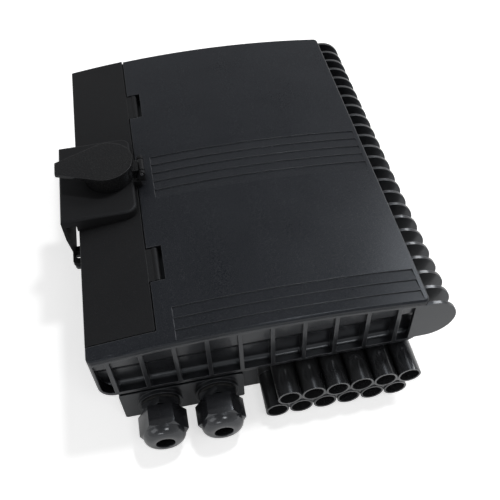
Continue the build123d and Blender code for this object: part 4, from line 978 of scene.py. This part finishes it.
@dataclass
class CableFittings(Assembly):
    """Saddles, anchor plates, earth stud and the small cross-head screws."""

    head_radius: float = 3.4 * MM
    head_height: float = 2.2 * MM
    head_round: float = 0.9 * MM
    head_sides: int = 24
    round_segments: int = 4
    shank_radius: float = 1.65 * MM
    tip_length: float = 1.5 * MM
    tip_share: float = 0.35
    recess_width: float = 0.9 * MM
    recess_reach: float = 4.0 * MM
    recess_depth: float = 1.3 * MM
    recess_taper: float = 0.55
    shade_angle: float = 35.0
    screw_gap: float = 6 * MM

    def build(self) -> None:
        """Dresses the fittings and sets a modelled screw at each screw place."""
        self.dress("cable_saddle_1", Slot.SADDLE)
        self.dress("cable_saddle_2", Slot.SADDLE)
        self.dress("anchor_plates", Slot.SADDLE)
        self.dress("earth_stud", Slot.EARTH)
        self.dress("earth_nut_and_washer", Slot.EARTH)
        self.set_screws()

    def set_screws(self) -> None:
        """Models a screw of each length once, and copies it to the places of its kind."""
        models: dict[float, tuple[bpy.types.Object, Vector]] = {}
        screws: list[bpy.types.Object] = []
        for number, (low, high) in enumerate(node_islands("fitting_screws", self.screw_gap), start=1):
            length = round(high.z - low.z, 4)
            seat = Vector(((low.x + high.x) / 2, (low.y + high.y) / 2, high.z))
            name = f"cross_head_screw_{number}"
            if length in models:
                model, place = models[length]
                piece = duplicate(model, name, seat - place)
            else:
                piece = self.model_screw(seat, length, name)
                models[length] = (piece, seat)
            screws.append(piece)
        for piece in screws:
            self.fit(piece, Slot.SCREW, "base", "fitting_screws")

    def model_screw(self, top: Vector, length: float, name: str) -> bpy.types.Object:
        """Models one pan-head screw with a cross recess.

        Args:
            top: middle of the head's top.
            length: whole length of the screw.
            name: its name.

        Returns:
            The screw.
        """
        shank = length - self.head_height - self.tip_length
        middle = (top.x, top.y, top.z - self.head_height / 2)
        tip = (top.x, top.y, top.z - length)
        deselect()
        bpy.ops.mesh.primitive_cylinder_add(vertices=self.head_sides, radius=self.head_radius,
                                            depth=self.head_height, location=middle)
        screw = bpy.context.object
        bpy.ops.object.transform_apply(location=True)
        pick_faces(screw, faces_up)
        bpy.ops.mesh.bevel(offset=self.head_round, segments=self.round_segments, affect="EDGES")
        pick_faces(screw, faces_down)
        bpy.ops.mesh.inset(thickness=self.head_radius - self.shank_radius)
        for step in (shank, self.tip_length):
            bpy.ops.mesh.extrude_region_move(TRANSFORM_OT_translate={"value": (0, 0, -step)})
        bpy.ops.transform.resize(value=(self.tip_share, self.tip_share, 1.0), center_override=tip)
        for turn in (0, 90):
            blade = self.cross_blade(top, turn)
            apply_modifier(screw, "BOOLEAN", operation="DIFFERENCE", object=blade, solver="EXACT")
            bpy.data.objects.remove(blade)
        settle(screw, name)
        smooth(screw, self.shade_angle)
        return screw

    def cross_blade(self, top: Vector, turn: float) -> bpy.types.Object:
        """One blade of the driver's cross, narrower towards its tip.

        Args:
            top: middle of the head's top.
            turn: the blade's direction in degrees.

        Returns:
            The cutting blade.
        """
        deselect()
        bpy.ops.mesh.primitive_cube_add(size=1, location=top, rotation=(0, 0, math.radians(turn)))
        blade = bpy.context.object
        blade.scale = (self.recess_reach, self.recess_width, 2 * self.recess_depth)
        bpy.ops.object.transform_apply(location=True, rotation=True, scale=True)
        pick_faces(blade, faces_down)
        bpy.ops.transform.resize(value=(self.recess_taper, self.recess_taper, 1.0), center_override=top)
        bpy.ops.object.mode_set(mode="OBJECT")
        return blade


@dataclass
class SpliceGear(Assembly):
    """Adapter panel, adapters, plugs, splitter and the splice tray."""

    adapter_count: int = 12

    def build(self) -> None:
        """Dresses the optical fittings."""
        self.dress("adapter_panel", Slot.PANEL)
        for number in range(1, self.adapter_count + 1):
            self.dress(f"adapter_{number}", Slot.ADAPTER)
        self.dress("drop_side_plugs", Slot.PLUG)
        self.dress("splice_side_plugs", Slot.PLUG)
        self.dress("splitter_module", Slot.SPLITTER)
        self.dress("splice_tray", Slot.TRAY)
        self.dress("tray_cover", Slot.COVER)


# Studio
@dataclass(frozen=True)
class Lamp:
    """One soft rectangular lamp that shines at a target."""

    name: str
    place: Point
    size: tuple[float, float]
    power: float
    target: Point = (0.0, 0.0, 0.06)

    def hang(self) -> None:
        """Hangs the lamp and turns it to its target."""
        data = bpy.data.lights.new(self.name, "AREA")
        data.shape = "RECTANGLE"
        data.size, data.size_y = self.size
        data.energy = self.power
        lamp = bpy.data.objects.new(self.name, data)
        lamp.location = self.place
        aim = Vector(self.target) - Vector(self.place)
        lamp.rotation_euler = aim.to_track_quat("-Z", "Y").to_euler()
        bpy.context.scene.collection.objects.link(lamp)


@dataclass(frozen=True)
class Studio:
    """White table, soft lamps and the camera at the photograph's angle."""

    focal_pixels: float = 684.0
    frame_pixels: float = 500.0
    sensor_width: float = 36.0
    clip_start: float = 10 * MM
    azimuth: float = -8.61
    elevation: float = 51.135
    roll: float = 2.99
    eye: Point = (-0.04258, -0.40491, 0.48788)
    floor_size: float = 6.0
    floor_level: float = 0.8
    floor_roughness: float = 0.9
    floor_glow: float = 0.62
    mirrored_glow: float = 0.12
    sky_level: float = 0.4
    mirrored_sky: float = 0.6
    ceiling_share: float = 0.25
    lamps: tuple[Lamp, ...] = (
        Lamp("right_softbox", (1.05, 0.50, 0.98), (0.6, 0.6), 9.0),
        Lamp("top_softbox", (0.50, 0.22, 1.60), (0.16, 0.16), 8.0),
        Lamp("camera_softbox", (0.35, -0.9, 1.25), (0.4, 0.4), 2.5),
        Lamp("left_softbox", (-1.1, -0.5, 0.9), (0.8, 0.8), 2.0),
        Lamp("low_strip", (-0.35, -1.3, 0.42), (0.4, 0.12), 0.7),
    )

    def build(self) -> None:
        """Sets the table, the light and the camera."""
        self.lay_floor()
        self.light_sky()
        for lamp in self.lamps:
            lamp.hang()
        self.set_camera()
        bpy.context.scene.view_settings.view_transform = "Standard"

    def seen_directly(self, graph: Graph) -> Value:
        """A mask of the rays by which a surface is seen rather than lit.

        Args:
            graph: the graph that takes the mask.

        Returns:
            A number that is 1 for what the camera, a reflection or a clear piece sees.
        """
        path = graph.node("ShaderNodeLightPath").outputs
        direct = Value(graph, path["Is Camera Ray"]) + Value(graph, path["Is Glossy Ray"])
        return (direct + Value(graph, path["Is Transmission Ray"])).clamped()

    def lay_floor(self) -> None:
        """Lays the white table under the box."""
        deselect()
        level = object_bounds()[0][2]
        bpy.ops.mesh.primitive_plane_add(size=self.floor_size, location=(0, 0, level))
        floor = bpy.context.object
        bpy.ops.object.transform_apply(location=True)
        floor.name = "white_table"
        graph = Graph(bpy.data.materials.new("white_table"))
        mirrored = Value(graph, graph.node("ShaderNodeLightPath").outputs["Is Glossy Ray"])
        glow = self.floor_glow - mirrored * (self.floor_glow - self.mirrored_glow)
        graph.surface({
            "Base Color": grey(self.floor_level),
            "Roughness": self.floor_roughness,
            "Emission Color": graph.blend(self.seen_directly(graph) * glow, grey(0.0), grey(1.0)),
            "Emission Strength": 1.0,
        })
        floor.data.materials.append(graph.owner)
        floor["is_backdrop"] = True

    def light_sky(self) -> None:
        """Lights the room, dimmer from above, and shows it white to the camera."""
        graph = Graph(bpy.data.worlds.new("white_room"))
        bpy.context.scene.world = graph.owner
        path = graph.node("ShaderNodeLightPath").outputs
        camera = Value(graph, path["Is Camera Ray"])
        mirrored = Value(graph, path["Is Glossy Ray"])
        level = self.sky_level + self.seen_directly(graph) * (1.0 - self.sky_level)
        level = level - mirrored * (1.0 - self.mirrored_sky)
        where = graph.node("ShaderNodeTexCoord").outputs["Generated"]
        split = graph.node("ShaderNodeSeparateXYZ", sockets={0: where}).outputs
        height = Value(graph, split["Z"]).clamped()
        dimmed = 1.0 - height * (1.0 - self.ceiling_share)
        level = level * (camera + (1.0 - camera) * dimmed)
        sky = graph.node("ShaderNodeBackground", sockets={"Color": grey(1.0), "Strength": level})
        graph.node("ShaderNodeOutputWorld", sockets={"Surface": sky.outputs[0]})

    def set_camera(self) -> None:
        """Puts the camera where the photograph was taken from."""
        data = bpy.data.cameras.new("photo_camera")
        data.sensor_width = self.sensor_width
        data.lens = self.focal_pixels / self.frame_pixels * data.sensor_width
        data.clip_start = self.clip_start
        camera = bpy.data.objects.new("photo_camera", data)
        turn, tilt = math.radians(self.azimuth), math.radians(self.elevation)
        back = Vector((math.sin(turn) * math.cos(tilt), -math.cos(turn) * math.cos(tilt), math.sin(tilt)))
        pose = back.to_track_quat("Z", "Y").to_matrix().to_4x4()
        lean = Matrix.Rotation(-math.radians(self.roll), 4, "Z")
        camera.matrix_world = Matrix.Translation(self.eye) @ pose @ lean
        bpy.context.scene.collection.objects.link(camera)
        bpy.context.scene.camera = camera


def main() -> None:
    """Builds the box's sub-assemblies and the studio."""
    logging.basicConfig(level=logging.INFO, format="%(name)s: %(message)s")
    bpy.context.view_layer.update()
    palette = box_palette()
    for maker in (Housing, Lid, Latch, CableGland, CableFittings, SpliceGear):
        maker(palette).build()
        log.info("built %s", maker.__name__)
    Studio().build()
    log.info("built %s", Studio.__name__)
    deselect()


if __name__ == "__main__":
    main()
